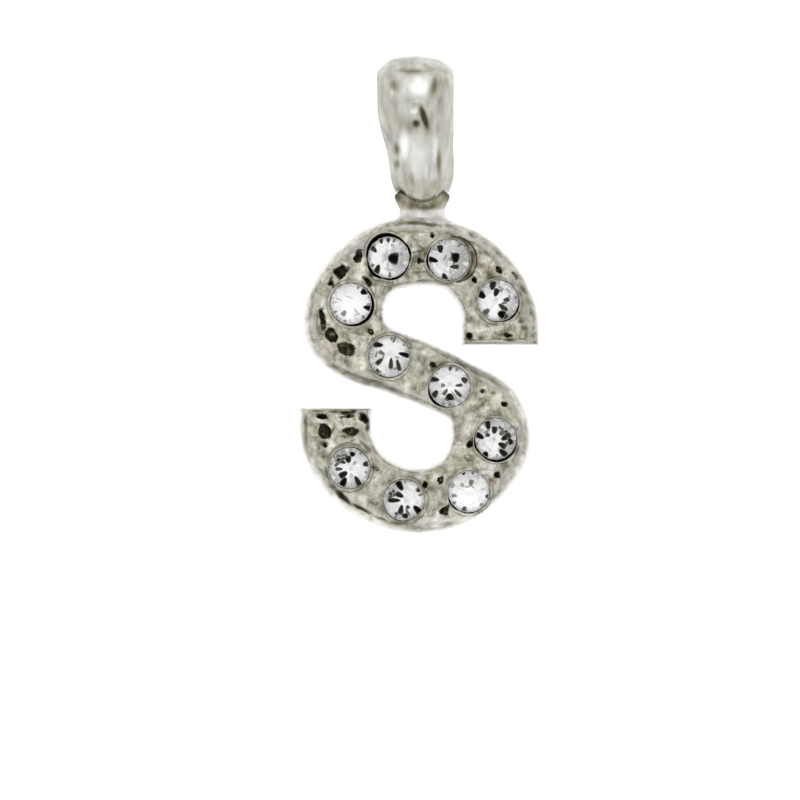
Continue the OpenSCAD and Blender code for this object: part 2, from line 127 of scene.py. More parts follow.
# Half-widths of the stroke: [share of its length, left side, right side], sides as shares of half_w.
STROKE = np.array([
    [0.000, 1.12, 1.12], [0.030, 1.13, 1.12], [0.060, 1.03, 1.08], [0.100, 0.97, 1.02],
    [0.140, 0.91, 1.01], [0.190, 0.96, 0.96], [0.230, 0.97, 1.04], [0.275, 0.88, 1.10],
    [0.310, 0.97, 1.12], [0.340, 1.01, 1.25], [0.370, 1.00, 1.37], [0.390, 0.97, 1.29],
    [0.410, 0.94, 1.10], [0.440, 0.88, 0.95], [0.480, 0.90, 0.90], [0.530, 0.87, 0.88],
    [0.570, 0.82, 0.93], [0.610, 1.09, 1.07], [0.650, 1.22, 1.10], [0.690, 1.12, 0.99],
    [0.730, 1.06, 0.89], [0.790, 0.97, 0.92], [0.850, 0.91, 0.97], [0.900, 0.97, 0.97],
    [0.950, 1.05, 1.01], [1.000, 1.05, 1.05],
])
top_share = 0.2
foot_share = 0.8
# Side of the stroke: [share of the border's width in from the edge, share of the letter's thickness].
EDGE = np.array([[0, 0.42], [0.1, 0.65], [0.32, 0.86], [0.5, 0.955], [0.66, 1], [1, 1]])
end_edge_share = 0.8
swap_from_share = 0.42
swap_to_share = 0.58

# Stones: [share of the stroke's length, offset to the left as a share of half_w, turn, lean].
STONES = [
    [0.0625, -0.07, 10, 2], [0.158, 0.11, 31, 1], [0.249, -0.02, 4, 1], [0.339, 0.04, 20, 1],
    [0.447, 0.09, 38, 1.5], [0.544, -0.04, 0, 2], [0.648, 0.19, 26, 1], [0.726, 0.30, 15, 1],
    [0.816, -0.01, 41, 2], [0.910, 0.01, 8, 1.5],
]
lean_step_angle = 137
# Where a cup is wider than its stone, with painted shadow in the wider gap: [stone, side, extra gap as a
# share of stone_r, spread in degrees].
CUP_PLAY = [
    [0, -45, 0.06, 40], [1, 185, 0.07, 28], [2, 115, 0.17, 60], [2, 20, 0.08, 30], [2, -70, 0.09, 40],
    [2, -135, 0.11, 30], [3, -35, 0.13, 62], [4, -100, 0.02, 40], [5, -140, 0.09, 32], [6, -75, 0.10, 52],
    [6, -155, 0.06, 25], [7, -90, 0.03, 40], [7, -140, 0.06, 25], [8, -120, 0.02, 40], [9, 60, 0.02, 40],
]
# Shallow wells where a cup was first drilled off its place: [stone, shift right, shift up, depth], as
# shares of stone_d.
WELLS = [[1, 0.13, 0.0, 0.075], [9, -0.03, 0.05, 0.025]]

# Pits: [share of the stroke's length, offset to the left, length, width, turn off the stroke, corners],
# with offsets and sizes in half_w.
PITS = [
    [0.281, -0.54, 0.34, 0.24, 30, 5], [0.307, -0.60, 0.52, 0.42, -12, 4],
    [0.323, -0.70, 0.34, 0.22, 10, 3], [0.356, -0.78, 0.60, 0.12, 4, 4],
    [0.374, -0.63, 0.46, 0.34, 20, 5], [0.395, -0.43, 0.66, 0.44, 40, 4],
    [0.397, 0.44, 0.16, 0.12, 0, 5], [0.296, 0.17, 0.30, 0.10, 82, 4],
    [0.187, -0.45, 0.14, 0.12, 0, 5], [0.204, 0.29, 0.20, 0.16, 0, 3],
    [0.0975, -0.53, 0.16, 0.10, 0, 5], [0.107, 0.20, 0.14, 0.12, 0, 5],
    [0.079, -0.83, 0.26, 0.08, 12, 4], [0.509, 0.35, 0.16, 0.12, 0, 5],
    [0.586, 0.32, 0.14, 0.12, 0, 5], [0.610, 0.60, 0.16, 0.12, 30, 5],
    [0.667, -0.50, 0.16, 0.14, 0, 5], [0.753, -0.42, 0.20, 0.14, 70, 4],
    [0.781, -0.44, 0.20, 0.10, 70, 4], [0.763, 0.44, 0.42, 0.30, 40, 3],
    [0.688, 0.60, 0.16, 0.14, 0, 5], [0.969, 0.31, 0.46, 0.42, 30, 5],
    [0.965, -0.41, 0.26, 0.52, 0, 5], [0.951, 0.40, 0.10, 0.14, 0, 4],
    [0.885, -0.53, 0.20, 0.10, 20, 4], [0.984, -0.84, 0.40, 0.14, 45, 4],
    [0.012, 0.90, 0.18, 0.16, 0, 5], [0.013, -0.25, 0.10, 0.26, 0, 4],
    [0.988, 0.42, 0.08, 0.24, 0, 4], [0.988, -0.25, 0.10, 0.40, 0, 4],
]
corner_power = 3.6
# Ridges: [share of the stroke's length and offset to the left of one end, then of the other], in half_w.
RIDGES = [
    [0.300, -0.78, 0.322, -0.40], [0.312, -0.80, 0.324, -0.44], [0.290, -0.30, 0.318, -0.34],
    [0.380, -0.20, 0.405, -0.78], [0.196, 0.52, 0.196, -0.05], [0.196, -0.05, 0.212, -0.45],
    [0.212, -0.20, 0.214, 0.50], [0.110, -0.60, 0.105, 0.45], [0.500, -0.50, 0.502, 0.50],
    [0.592, 0.60, 0.602, -0.55], [0.690, -0.10, 0.688, -0.60], [0.770, -0.60, 0.772, 0.62],
    [0.863, -0.60, 0.861, 0.55], [0.980, 0.66, 0.978, -0.45], [0.978, 0.04, 0.942, 0.06],
    [0.948, -0.10, 0.952, -0.72], [0.700, 0.72, 0.674, 0.80],
]
# Small cast grains: [share of the stroke's length, offset to the left, diameter], in half_w.
GRAINS = [
    [0.205, -0.36, 0.26], [0.190, 0.20, 0.20], [0.214, 0.14, 0.18], [0.112, 0.05, 0.24],
    [0.103, -0.28, 0.26], [0.083, -0.62, 0.18], [0.296, 0.05, 0.22], [0.330, -0.74, 0.16],
    [0.408, 0.20, 0.20], [0.492, 0.34, 0.24], [0.506, -0.40, 0.24], [0.594, 0.15, 0.22],
    [0.606, -0.30, 0.20], [0.690, -0.40, 0.26], [0.682, 0.50, 0.22], [0.764, 0.02, 0.22],
    [0.776, 0.40, 0.20], [0.858, 0.40, 0.24], [0.868, -0.30, 0.22], [0.944, 0.70, 0.16],
    [0.022, 0.40, 0.24], [0.024, -0.35, 0.22],
]
grain_sink_share = 0.4
# Faint creases along the foot of the broad border: [from share, to share, depth, width], in letter_t.
CREASES = [
    [0.185, 0.235, 0.02, 0.025], [0.335, 0.372, 0.0125, 0.025], [0.080, 0.150, 0.015, 0.025],
    [0.600, 0.660, 0.01, 0.03],
]
# Scratches, stains and pale places on the letter's face: [across, up, length, width, turn, depth,
# darkness]. Depths are shares of letter_t and the other lengths of letter_h. A pale place has a
# darkness below nothing.
LETTER_MARKS = [
    [-0.023, -0.468, 0.063, 0.013, 0, 0.015, 0.7], [-0.092, -0.468, 0.032, 0.016, 20, 0.01, 0.35],
    [0.034, -0.475, 0.038, 0.013, -5, 0.005, 0.4], [-0.359, -1.131, 0.126, 0.016, 90, 0.02, 0.6],
    [-0.354, -1.203, 0.05, 0.013, -75, 0.015, 0.45], [-0.307, -1.257, 0.063, 0.013, -50, 0.015, 0.4],
    [-0.272, -1.304, 0.05, 0.019, -48, 0.025, 0.6], [-0.241, -1.336, 0.076, 0.019, -42, 0.05, 1.1],
    [-0.184, -1.373, 0.082, 0.011, -29, 0.04, 0.95], [-0.121, -1.405, 0.063, 0.011, -22, 0.025, 0.6],
    [-0.067, -1.418, 0.088, 0.019, -5, 0.02, 0.55], [-0.319, -1.064, 0.044, 0.011, 0, 0.02, 0.6],
    [-0.269, -1.067, 0.044, 0.011, 0, 0.025, 0.65], [-0.234, -1.071, 0.05, 0.015, 0, 0.04, 1],
    [-0.209, -1.067, 0.022, 0.016, 0, 0.04, 0.9], [-0.174, -1.086, 0.05, 0.02, -48, 0.075, 1.1],
    [-0.162, -1.115, 0.028, 0.016, 90, 0.05, 0.9], [-0.171, -1.175, 0.057, 0.011, -47, 0.02, 0.55],
    [-0.146, -1.238, 0.025, 0.022, 0, 0.025, 0.55], [-0.155, -1.348, 0.022, 0.022, 0, 0.01, 0.3],
    [-0.301, -1.168, 0.028, 0.019, 0, 0.03, 0.7], [-0.338, -0.74, 0.057, 0.011, 80, 0.01, 0.45],
    [-0.193, -0.822, 0.057, 0.013, -10, 0.015, 0.45], [-0.001, -0.585, 0.016, 0.038, 10, 0.015, 0.5],
    [-0.146, -0.629, 0.035, 0.025, 30, 0.06, 1], [-0.004, -0.626, 0.063, 0.009, 5, 0.01, 0.4],
    [0.065, -0.664, 0.189, 0.011, -3, 0.01, 0.42], [0.195, -0.834, 0.019, 0.016, 0, 0.015, 0.6],
    [0.16, -0.84, 0.044, 0.013, 0, 0.015, 0.6], [0.283, -0.84, 0.035, 0.013, 0, 0.015, 0.65],
    [0.321, -0.781, 0.019, 0.016, 0, 0.015, 0.6], [0.355, -0.755, 0.019, 0.016, 0, 0.015, 0.6],
    [0.359, -0.828, 0.019, 0.019, 0, 0.015, 0.6], [0.147, -0.544, 0.038, 0.009, -40, 0.01, 0.4],
    [0.204, -0.5, 0.032, 0.009, -30, 0.01, 0.4], [-0.148, -0.84, 0.016, 0.016, 0, 0.015, 0.6],
    [0.223, -1.241, 0.076, 0.063, 0, 0, -0.5], [0.232, -0.809, 0.082, 0.044, 0, 0, -0.22],
    [-0.275, -1.194, 0.038, 0.076, 0, 0, -0.25], [-0.133, -1.307, 0.063, 0.076, 0, 0, -0.2],
    [0.097, -1.405, 0.158, 0.038, 10, 0, -0.36], [-0.184, -1.345, 0.025, 0.025, 0, 0, -0.4],
    [-0.313, -1.108, 0.019, 0.063, 10, 0, -0.3], [-0.203, -1.156, 0.063, 0.025, 0, 0, -0.3],
    [-0.092, -1.25, 0.044, 0.025, -30, 0, -0.25], [-0.162, -0.803, 0.05, 0.04, -25, 0, 0.36],
    [0.306, -0.638, 0.024, 0.018, 0, 0.01, 0.6], [0.324, -0.677, 0.04, 0.016, -60, 0.01, 0.5],
    [0.343, -0.715, 0.04, 0.018, -70, 0.01, 0.42], [0.28, -0.594, 0.05, 0.014, -50, 0.01, 0.45],
    [0.362, -0.77, 0.036, 0.014, 88, 0.01, 0.45], [0.33, -0.72, 0.075, 0.04, -70, 0, 0.2],
    [0.33, -1.15, 0.075, 0.04, 88, 0, 0.16], [0.035, -0.905, 0.12, 0.028, -24, 0, 0.18],
]
# Where the painted highlight along the border's outer edge reaches further in: [from share, to share, side,
# width in letter_t].
EDGE_HIGHLIGHT_BANDS = [[0.60, 0.80, 1, 0.10], [0.80, 0.95, 1, 0.23], [0.24, 0.42, -1, 0.13]]

# Painted dark reflections seen in each stone, dark chips laid on the crown, a list for each: [direction,
# distance from the middle, length, width, turn off the radial direction, paleness]. Distances and sizes are
# shares of stone_r.
PETALS = [
    [
        [109, 0.78, 0.42, 0.22, -30, 0.05], [160, 0.845, 0.42, 0.25, -20, 0],
        [102, 0.41, 0.36, 0.19, -31, 0.05], [72, 0.52, 0.18, 0.1, 0, 0.4], [7, 0.4, 0.28, 0.15, 0, 0.15],
        [-54, 0.405, 0.48, 0.18, 13, 0.12], [-75, 0.66, 0.34, 0.28, 48, 0],
        [-66, 0.79, 0.28, 0.2, 20, 0.1], [-137, 0.77, 0.34, 0.2, 0, 0.25],
        [74, 0.62, 0.32, 0.08, 78, 0.45], [42, 0.68, 0.34, 0.08, 88, 0.5],
        [16, 0.58, 0.26, 0.08, 88, 0.45], [-20, 0.3, 0.3, 0.1, 40, 0.3],
    ],
    [
        [130, 0.65, 0.36, 0.21, -34, 0.05], [182, 0.76, 0.44, 0.18, -21, 0],
        [13, 0.31, 0.44, 0.3, 77, 0], [12, 0.12, 0.28, 0.18, 0, 0.35], [-54, 0.44, 0.4, 0.15, 54, 0.1],
        [-104, 0.86, 0.34, 0.19, 34, 0.05], [-82, 0.57, 0.24, 0.12, 0, 0.55],
        [82, 0.47, 0.18, 0.12, 0, 0.6], [-64, 0.76, 0.18, 0.12, 0, 0.55],
        [103, 0.78, 0.18, 0.1, 0, 0.55], [60, 0.3, 0.3, 0.08, 70, 0.4], [-20, 0.3, 0.34, 0.12, 80, 0.3],
        [150, 0.2, 0.3, 0.08, 90, 0.45], [-75, 0.76, 0.3, 0.07, 90, 0.55],
    ],
    [
        [-14, 0.235, 0.46, 0.4, 7, 0], [114, 0.85, 0.24, 0.13, -18, 0.15],
        [91, 0.82, 0.22, 0.13, 0, 0.15], [72, 0.59, 0.14, 0.12, 0, 0.55],
        [151, 0.82, 0.4, 0.17, -18, 0.1], [-133, 0.78, 0.42, 0.19, 23, 0.05],
        [-60, 0.75, 0.22, 0.12, 30, 0.65], [-80, 0.6, 0.4, 0.07, 88, 0.6],
        [40, 0.6, 0.3, 0.07, 90, 0.65],
    ],
    [
        [42, 0.87, 0.36, 0.24, -10, 0], [-14, 0.85, 0.42, 0.18, 0, 0], [-126, 0.56, 0.28, 0.17, 0, 0.42],
        [-152, 0.88, 0.28, 0.11, 0, 0.4], [-108, 0.88, 0.14, 0.13, 0, 0.45],
        [161, 0.6, 0.3, 0.09, 0, 0.65], [-56, 0.42, 0.27, 0.08, 0, 0.6],
        [100, 0.3, 0.34, 0.06, 60, 0.65], [-60, 0.6, 0.3, 0.06, 85, 0.6], [175, 0.75, 0.2, 0.08, 0, 0.6],
    ],
    [
        [135, 0.77, 0.44, 0.19, 36, 0.03], [158, 0.39, 0.3, 0.14, -10, 0.3],
        [-152, 0.54, 0.38, 0.16, 12, 0.1], [-78, 0.36, 0.5, 0.15, -14, 0.15],
        [-45, 0.6, 0.52, 0.14, -31, 0.12], [6, 0.71, 0.5, 0.16, -20, 0], [74, 0.82, 0.3, 0.13, 0, 0.35],
        [-129, 0.9, 0.22, 0.14, 60, 0.2], [-10, 0.36, 0.22, 0.08, 0, 0.5],
        [170, 0.62, 0.3, 0.08, 80, 0.4], [-172, 0.3, 0.3, 0.08, 60, 0.4],
        [-62, 0.66, 0.26, 0.1, 85, 0.4],
    ],
    [
        [156, 0.81, 0.44, 0.18, 20, 0.05], [24, 0.76, 0.3, 0.19, -60, 0.12],
        [171, 0.32, 0.2, 0.14, 0, 0.35], [7, 0.44, 0.32, 0.11, 0, 0.2], [-90, 0.5, 0.32, 0.29, 0, 0.03],
        [-128, 0.34, 0.32, 0.13, 0, 0.25], [-40, 0.51, 0.44, 0.13, -6, 0.2],
        [-153, 0.78, 0.36, 0.2, 29, 0.1], [88, 0.86, 0.22, 0.13, 0, 0.2],
        [-110, 0.87, 0.22, 0.14, 0, 0.45], [-82, 0.93, 0.16, 0.12, 0, 0.4],
        [-70, 0.62, 0.3, 0.08, 80, 0.45], [-105, 0.66, 0.3, 0.08, 85, 0.35],
        [-62, 0.42, 0.4, 0.07, 10, 0.5],
    ],
    [
        [120, 0.765, 0.4, 0.19, -23, 0.03], [170, 0.79, 0.4, 0.19, -21, 0],
        [155, 0.44, 0.2, 0.15, 0, 0.15], [101, 0.43, 0.32, 0.19, -17, 0.05],
        [47, 0.42, 0.32, 0.2, 0, 0.25], [11, 0.48, 0.48, 0.21, 18, 0.03],
        [-9, 0.68, 0.32, 0.18, -53, 0.03], [-46, 0.42, 0.38, 0.2, 17, 0.05],
        [-63, 0.73, 0.44, 0.2, 23, 0.03], [-124, 0.9, 0.28, 0.22, 10, 0], [38, 0.9, 0.2, 0.14, 0, 0.45],
        [64, 0.56, 0.3, 0.1, 85, 0.25], [26, 0.56, 0.34, 0.12, 85, 0.1], [140, 0.56, 0.3, 0.1, 80, 0.4],
        [-28, 0.55, 0.3, 0.1, 80, 0.2],
    ],
    [
        [76, 0.44, 0.28, 0.16, 0, 0.3], [135, 0.44, 0.22, 0.14, 0, 0.5],
        [-165, 0.73, 0.26, 0.14, -15, 0.45], [106, 0.92, 0.18, 0.15, 0, 0.15],
        [78, 0.92, 0.16, 0.13, 0, 0.3], [-105, 0.86, 0.26, 0.18, 0, 0.25],
        [-14, 0.9, 0.18, 0.15, 0, 0.2], [-46, 0.88, 0.2, 0.16, 0, 0.45], [159, 0.86, 0.26, 0.22, 0, 0.5],
        [10, 0.69, 0.18, 0.1, 0, 0.6], [60, 0.3, 0.34, 0.08, 80, 0.55], [100, 0.25, 0.3, 0.08, 85, 0.55],
    ],
    [
        [106, 0.73, 0.46, 0.21, 16, 0], [143, 0.66, 0.22, 0.13, -80, 0.2],
        [160, 0.69, 0.32, 0.14, -70, 0.15], [130, 0.34, 0.38, 0.18, 23, 0.05],
        [179, 0.48, 0.56, 0.16, 0, 0.03], [-109, 0.47, 0.44, 0.18, 8, 0.05],
        [-63, 0.36, 0.18, 0.15, 0, 0.2], [-87, 0.74, 0.28, 0.19, 87, 0.05],
        [-36, 0.81, 0.54, 0.22, -12, 0], [35, 0.82, 0.18, 0.15, 0, 0.15],
        [-118, 0.7, 0.24, 0.12, -30, 0.2], [146, 0.52, 0.42, 0.1, 60, 0.2],
        [172, 0.72, 0.3, 0.1, 85, 0.15], [-100, 0.66, 0.34, 0.1, 80, 0.2],
        [-74, 0.58, 0.34, 0.1, 10, 0.25],
    ],
    [
        [78, 0.67, 0.22, 0.19, 0, 0], [98, 0.42, 0.32, 0.21, 0, 0.02], [126, 0.72, 0.44, 0.11, 54, 0.3],
        [140, 0.52, 0.44, 0.15, 16, 0.12], [-175, 0.5, 0.32, 0.12, -5, 0.2],
        [-134, 0.42, 0.4, 0.21, -13, 0.03], [-113, 0.71, 0.42, 0.22, -4, 0],
        [-58, 0.75, 0.52, 0.18, -5, 0.05], [14, 0.79, 0.24, 0.18, 0, 0.1], [45, 0.34, 0.22, 0.1, 0, 0.5],
        [-75, 0.36, 0.22, 0.14, 0, 0.6], [150, 0.7, 0.2, 0.12, -60, 0.3],
        [118, 0.52, 0.36, 0.1, 70, 0.15], [160, 0.6, 0.34, 0.1, 60, 0.25],
        [110, 0.66, 0.3, 0.1, 70, 0.25],
    ],
]
# The mirror foil as it shows through the crown: steeper under the table than towards the girdle.
foil_ring_share = 0.56
foil_rim_slope = math.radians(9)
foil_middle_slope = math.radians(13)
foil_twist = 0.005
backing_gap = 0.012
# Painted dark reflections: half their thickness, steps along and across, how much broader and longer they
# are than their rows say, how far each lies over the last, and how pale their rim is.
petal_rise = 0.004
petal_steps = (9, 7)
petal_swell = 1.6
petal_length = 1.15
petal_layer = 0.0004
petal_fade = 0.55

# Width of the bail: [share of its height from the top, share of bail_w].
BAIL_WIDTH = np.array([
    [0, 0.98], [0.2, 1], [0.39, 0.975], [0.5, 0.93], [0.6, 0.87], [0.7, 0.845], [0.8, 0.81],
    [0.87, 0.73], [0.93, 0.58], [0.97, 0.42], [1, 0.28],
])
# Face of the bail's band: [share of its half-width, height when plain, height beside the panel] in bail_t.
BAIL_FACE = np.array([
    [0, 1, 1.04], [0.3, 0.96, 1.01], [0.5, 0.89, 0.91], [0.58, 0.85, 0.82], [0.68, 0.77, 0.82],
    [0.82, 0.58, 0.68], [0.93, 0.37, 0.42], [1, 0.2, 0.2],
])
# The panel on the bail's front: [turn of the band above level, share of the panel, share of the groove].
BAIL_PANEL = np.array([
    [-60, 0, 0], [-45, 0.1, 0], [-18, 0.9, 0], [-16, 1, 0], [36, 1, 0], [44, 0, 0.8], [55, 0, 0],
])
groove_share = 0.82
panel_share = 0.58
panel_crease = 0.07
# Dents and stains on the bail's front, with painted dark reflections among the dark marks and painted
# highlights for the pale ones, as on the letter, with bail_w in letter_h's place.
BAIL_MARKS = [
    [-0.017, -1.105, 0.576, 0.288, 88, 0, -0.4], [0.271, -0.164, 0.392, 0.092, 90, 0.01, 0.42],
    [-0.37, -0.164, 0.314, 0.118, 90, 0.01, 0.4], [0.088, -1.262, 0.262, 0.065, 85, 0, -0.4],
    [-0.082, 0.02, 0.419, 0.105, -3, 0.01, 0.7], [0.192, -0.19, 0.34, 0.118, 75, 0.025, 0.8],
    [-0.331, -0.177, 0.209, 0.157, 120, 0.02, 0.72], [0.061, -0.595, 0.392, 0.098, 108, 0.045, 1.3],
    [-0.03, -0.425, 0.131, 0.044, -20, 0.01, 0.5], [-0.043, -0.674, 0.118, 0.131, 90, 0.03, 1.15],
    [-0.135, -0.7, 0.34, 0.235, 0, 0, 0.4], [-0.017, -0.543, 0.131, 0.039, 80, 0.01, 0.4],
    [-0.069, -0.517, 0.105, 0.078, 0, -0.01, -0.6], [-0.292, -1.001, 0.196, 0.105, 95, 0.015, 0.8],
    [-0.292, -1.184, 0.131, 0.092, 90, 0.01, 0.7], [0.258, -1.158, 0.392, 0.072, 92, 0.015, 0.75],
    [-0.095, -1.393, 0.262, 0.078, 100, 0.01, 0.55], [0.192, -1.459, 0.183, 0.131, 80, 0.005, 0.5],
    [-0.239, -1.55, 0.262, 0.098, -40, 0.01, 0.9], [-0.396, -0.582, 0.654, 0.17, 88, 0, 0.28],
    [0.284, -0.543, 0.994, 0.118, 90, 0, 0.2], [0.009, -1.524, 0.523, 0.262, 0, 0, 0.3],
    [-0.2, -0.962, 0.392, 0.157, 88, 0, -0.85], [0.205, -0.975, 0.366, 0.078, 88, 0, -0.5],
    [-0.004, -0.216, 0.419, 0.288, 85, 0, -0.55], [-0.501, -0.242, 0.445, 0.065, 85, 0, 0.25],
    [-0.213, 0.15, 0.262, 0.157, 10, 0.005, 0.24], [0.31, 0.15, 0.092, 0.118, 80, 0.01, 0.3],
    [0.349, -0.046, 0.288, 0.065, 90, 0.005, 0.3], [0.075, 0.098, 0.131, 0.065, -20, 0.005, 0.2],
    [-0.095, 0.242, 0.34, 0.052, 0, 0, 0.2],
]
bail_inside_share = 0.93
foot_round_share = 0.41
shift_from_share = 0.3
shift_to_share = 0.8


def smooth(t):
    c = np.clip(t, 0, 1)
    return c * c * (3 - 2 * c)


def mix(a, b, t):
    return a + (b - a) * t


def clock(degrees):
    """Direction at an angle, as the last axis of the result."""
    a = np.radians(degrees)
    return np.stack([np.cos(a), np.sin(a)], axis=-1)


def curve(table, x, column):
    """A smooth curve through one column of a table whose first column rises."""
    at, value = table[:, 0], table[:, column]
    slope = np.empty(len(at))
    slope[1:-1] = (value[2:] - value[:-2]) / (at[2:] - at[:-2])
    slope[0] = (value[1] - value[0]) / (at[1] - at[0])
    slope[-1] = (value[-1] - value[-2]) / (at[-1] - at[-2])
    x = np.clip(x, at[0], at[-1])
    i = np.clip(np.searchsorted(at, x, side="right") - 1, 0, len(at) - 2)
    width = at[i + 1] - at[i]
    t = (x - at[i]) / width
    bend = (1 - t) * slope[i] * width - t * slope[i + 1] * width
    return mix(value[i], value[i + 1], t * t * (3 - 2 * t)) + t * (1 - t) * bend


def lattice(corner, seed):
    """A repeatable number from -1 to 1 for each whole-numbered place."""
    mask = 0xFFFFFFFF
    h = (corner[..., 0] * 73856093) ^ (corner[..., 1] * 19349663) ^ (corner[..., 2] * 83492791)
    h = (h ^ (seed * 97531)) & mask
    h = ((h ^ (h >> 15)) * 73244475) & mask
    h = ((h ^ (h >> 13)) * 69069) & mask
    return ((h ^ (h >> 16)) & 0xFFFF) / 32767.5 - 1


def noise(points, size, seed):
    """Smooth noise from -1 to 1, with bumps about as wide as size."""
    q = np.asarray(points, float) / size
    base = np.floor(q).astype(np.int64)
    w = q - base
    w = w * w * (3 - 2 * w)
    total = 0
    for dx in (0, 1):
        for dy in (0, 1):
            for dz in (0, 1):
                near = np.abs(1 - np.array([dx, dy, dz]) - w).prod(axis=-1)
                total = total + near * lattice(base + np.array([dx, dy, dz]), seed)
    return total


def layered(points, size, seed, layers=3):
    """Noise with finer noise added to it."""
    total = 0
    for k in range(layers):
        total = total + noise(points, size / 2**k, seed + k) / 1.8**k
    return total / 1.6


# The letter's middle line.
def heading(v):
    return math.degrees(math.atan2(v[1], v[0]))


def stroke_pieces():
    """The middle line's arcs [centre, radius, first angle, sweep] and lines [start, direction, length]."""
    upper_c = np.array([
        bowl_shift / 2 - bowls_left,
        letter_top - upper_bowl_r - half_w * float(curve(STROKE, top_share, 2)),
    ])
    lower_c = np.array([
        upper_c[0] - bowl_shift,
        letter_top - letter_h + lower_bowl_r + half_w * float(curve(STROKE, foot_share, 1)),
    ])
    along = np.array([math.cos(spine_slope), -math.sin(spine_slope)])
    up = np.array([math.sin(spine_slope), math.cos(spine_slope)])
    middle = (upper_c + lower_c) / 2 + spine_lift * up

    def shoulder(bowl_c, bowl_r, side):
        base = middle + side * shoulder_r * up
        b = base - bowl_c
        run = b @ along
        reach = math.sqrt(run * run - b @ b + (bowl_r - shoulder_r) ** 2)
        return base + (-run - side * reach) * along

    upper_s = shoulder(upper_c, upper_bowl_r, 1)
    lower_s = shoulder(lower_c, lower_bowl_r, -1)
    slope = math.degrees(spine_slope)
    upper_turn = heading(upper_s - upper_c) % 360
    lower_turn = heading(lower_s - lower_c)
    spine_from = upper_s - shoulder_r * up
    spine_to = lower_s + shoulder_r * up
    return [
        [upper_c + [upper_bowl_r, -end_run], np.array([0, 1]), end_run],
        [upper_c, upper_bowl_r, 0, upper_turn],
        [upper_s, shoulder_r, upper_turn, 270 - slope - upper_turn],
        [spine_from, along, np.linalg.norm(spine_to - spine_from)],
        [lower_s, shoulder_r, 90 - slope, lower_turn - 90 + slope],
        [lower_c, lower_bowl_r, lower_turn, -180 - lower_turn],
        [lower_c + [-lower_bowl_r, 0], np.array([0, 1]), end_run],
    ]


def walk(pieces, step):
    """Points and left-hand directions at equal steps along the middle line, and its length."""
    lengths = [p[2] if len(p) == 3 else abs(math.radians(p[3])) * p[1] for p in pieces]
    starts = np.concatenate([[0], np.cumsum(lengths)])
    at = np.linspace(0, starts[-1], int(starts[-1] / step) + 1)
    points, lefts = np.empty((len(at), 2)), np.empty((len(at), 2))
    which = np.clip(np.searchsorted(starts, at, side="right") - 1, 0, len(pieces) - 1)
    for k, p in enumerate(pieces):
        on = which == k
        d = at[on] - starts[k]
        if len(p) == 3:
            points[on] = p[0] + d[:, None] * p[1]
            lefts[on] = [-p[1][1], p[1][0]]
        else:
            turn = p[2] + np.sign(p[3]) * np.degrees(d / p[1])
            points[on] = p[0] + p[1] * clock(turn)
            lefts[on] = -np.sign(p[3]) * clock(turn)
    return points, lefts, starts[-1]


line, line_left, stroke_l = walk(stroke_pieces(), 0.01)
line_share = np.linspace(0, 1, len(line))


def place(share, across):
    """A place on the letter's face, from its share of the length and its distance to the left."""
    at = [np.interp(share, line_share, line[:, k]) for k in (0, 1)]
    left = [np.interp(share, line_share, line_left[:, k]) for k in (0, 1)]
    return np.stack([at[0] + across * left[0], at[1] + across * left[1]], axis=-1)


def run_angle(share):
    ahead = place(share + 0.002, 0) - place(share - 0.002, 0)
    return heading(ahead)


def stroke_place(points):
    """Share of the length and distance to the left of each place, the reverse of place()."""
    share, across = np.empty(len(points)), np.empty(len(points))
    coarse, batch = 8, 4000
    rough = line[::coarse]
    for first in range(0, len(points), batch):
        p = points[first:first + batch]
        far = ((p[:, None, :] - rough[None]) ** 2).sum(axis=-1)
        near = far.argmin(axis=1) * coarse
        tries = np.clip(near[:, None] + np.arange(-coarse, coarse + 1), 0, len(line) - 1)
        far = ((p[:, None, :] - line[tries]) ** 2).sum(axis=-1)
        k = tries[np.arange(len(p)), far.argmin(axis=1)]
        gap = p - line[k]
        ahead = np.stack([line_left[k, 1], -line_left[k, 0]], axis=-1)
        share[first:first + batch] = line_share[k] + (gap * ahead).sum(axis=-1) / stroke_l
        across[first:first + batch] = (gap * line_left[k]).sum(axis=-1)
    return share, across


def half_width(share, left):
    return half_w * curve(STROKE, share, 1 if left else 2)


def border_width(share, left):
    passed = smooth((share - swap_from_share) / (swap_to_share - swap_from_share))
    if left:
        return mix(counter_border_w, border_w, passed)
    return mix(border_w, counter_border_w, passed)


def insets(share, across):
    """How far in from the stroke's left and right edges a place lies."""
    return half_width(share, True) - across, half_width(share, False) + across


def body_height(share, across, wander=0):
    """Height of the letter's face before any stone, pit or ridge. The foot of its border wanders."""
    d = np.minimum(share, 1 - share) * stroke_l
    rise = letter_t * mix(end_edge_share, 1, np.sqrt(np.clip(d / end_round, 0, 1)))
    fall = 1 - smooth((d - end_rim_w + 0.7 * wander) / (2 * rim_slope) + 0.5)
    for left, inset in zip((True, False), insets(share, across)):
        width = border_width(share, left)
        rise = np.minimum(rise, letter_t * np.minimum(curve(EDGE, inset / width, 1), 1))
        fall = np.maximum(fall, 1 - smooth((inset + wander * width - 1.08 * width) / rim_foot + 1))
    return np.minimum(rise, field_h + field_drop * fall)


def neck_root(points):
    """Where the neck grows out of the letter, from 0 to 1."""
    beside = smooth((neck_w / 2 + neck_flare + 0.12 - np.abs(points[:, 0] - neck_shift)) / 0.36)
    return beside * smooth((points[:, 1] - letter_top + 0.5) / 0.2)


def with_neck_root(points, height):
    """The border's height, raised to the neck's front where the neck grows out of it."""
    return mix(height, np.maximum(height, (letter_t + neck_t) / 2 + neck_proud), neck_root(points))


def stone_place(i):
    return place(STONES[i][0], STONES[i][1] * half_w)


def cup_play(i, turn):
    """How much wider stone i's cup is at a direction, on the side where the stone has play."""
    extra = 0 * turn
    for stone, side, gap, spread in CUP_PLAY:
        if stone == i:
            off = (turn - side + 180) % 360 - 180
            extra = np.maximum(extra, gap * stone_r * np.exp(-((off / spread) ** 2)))
    return extra


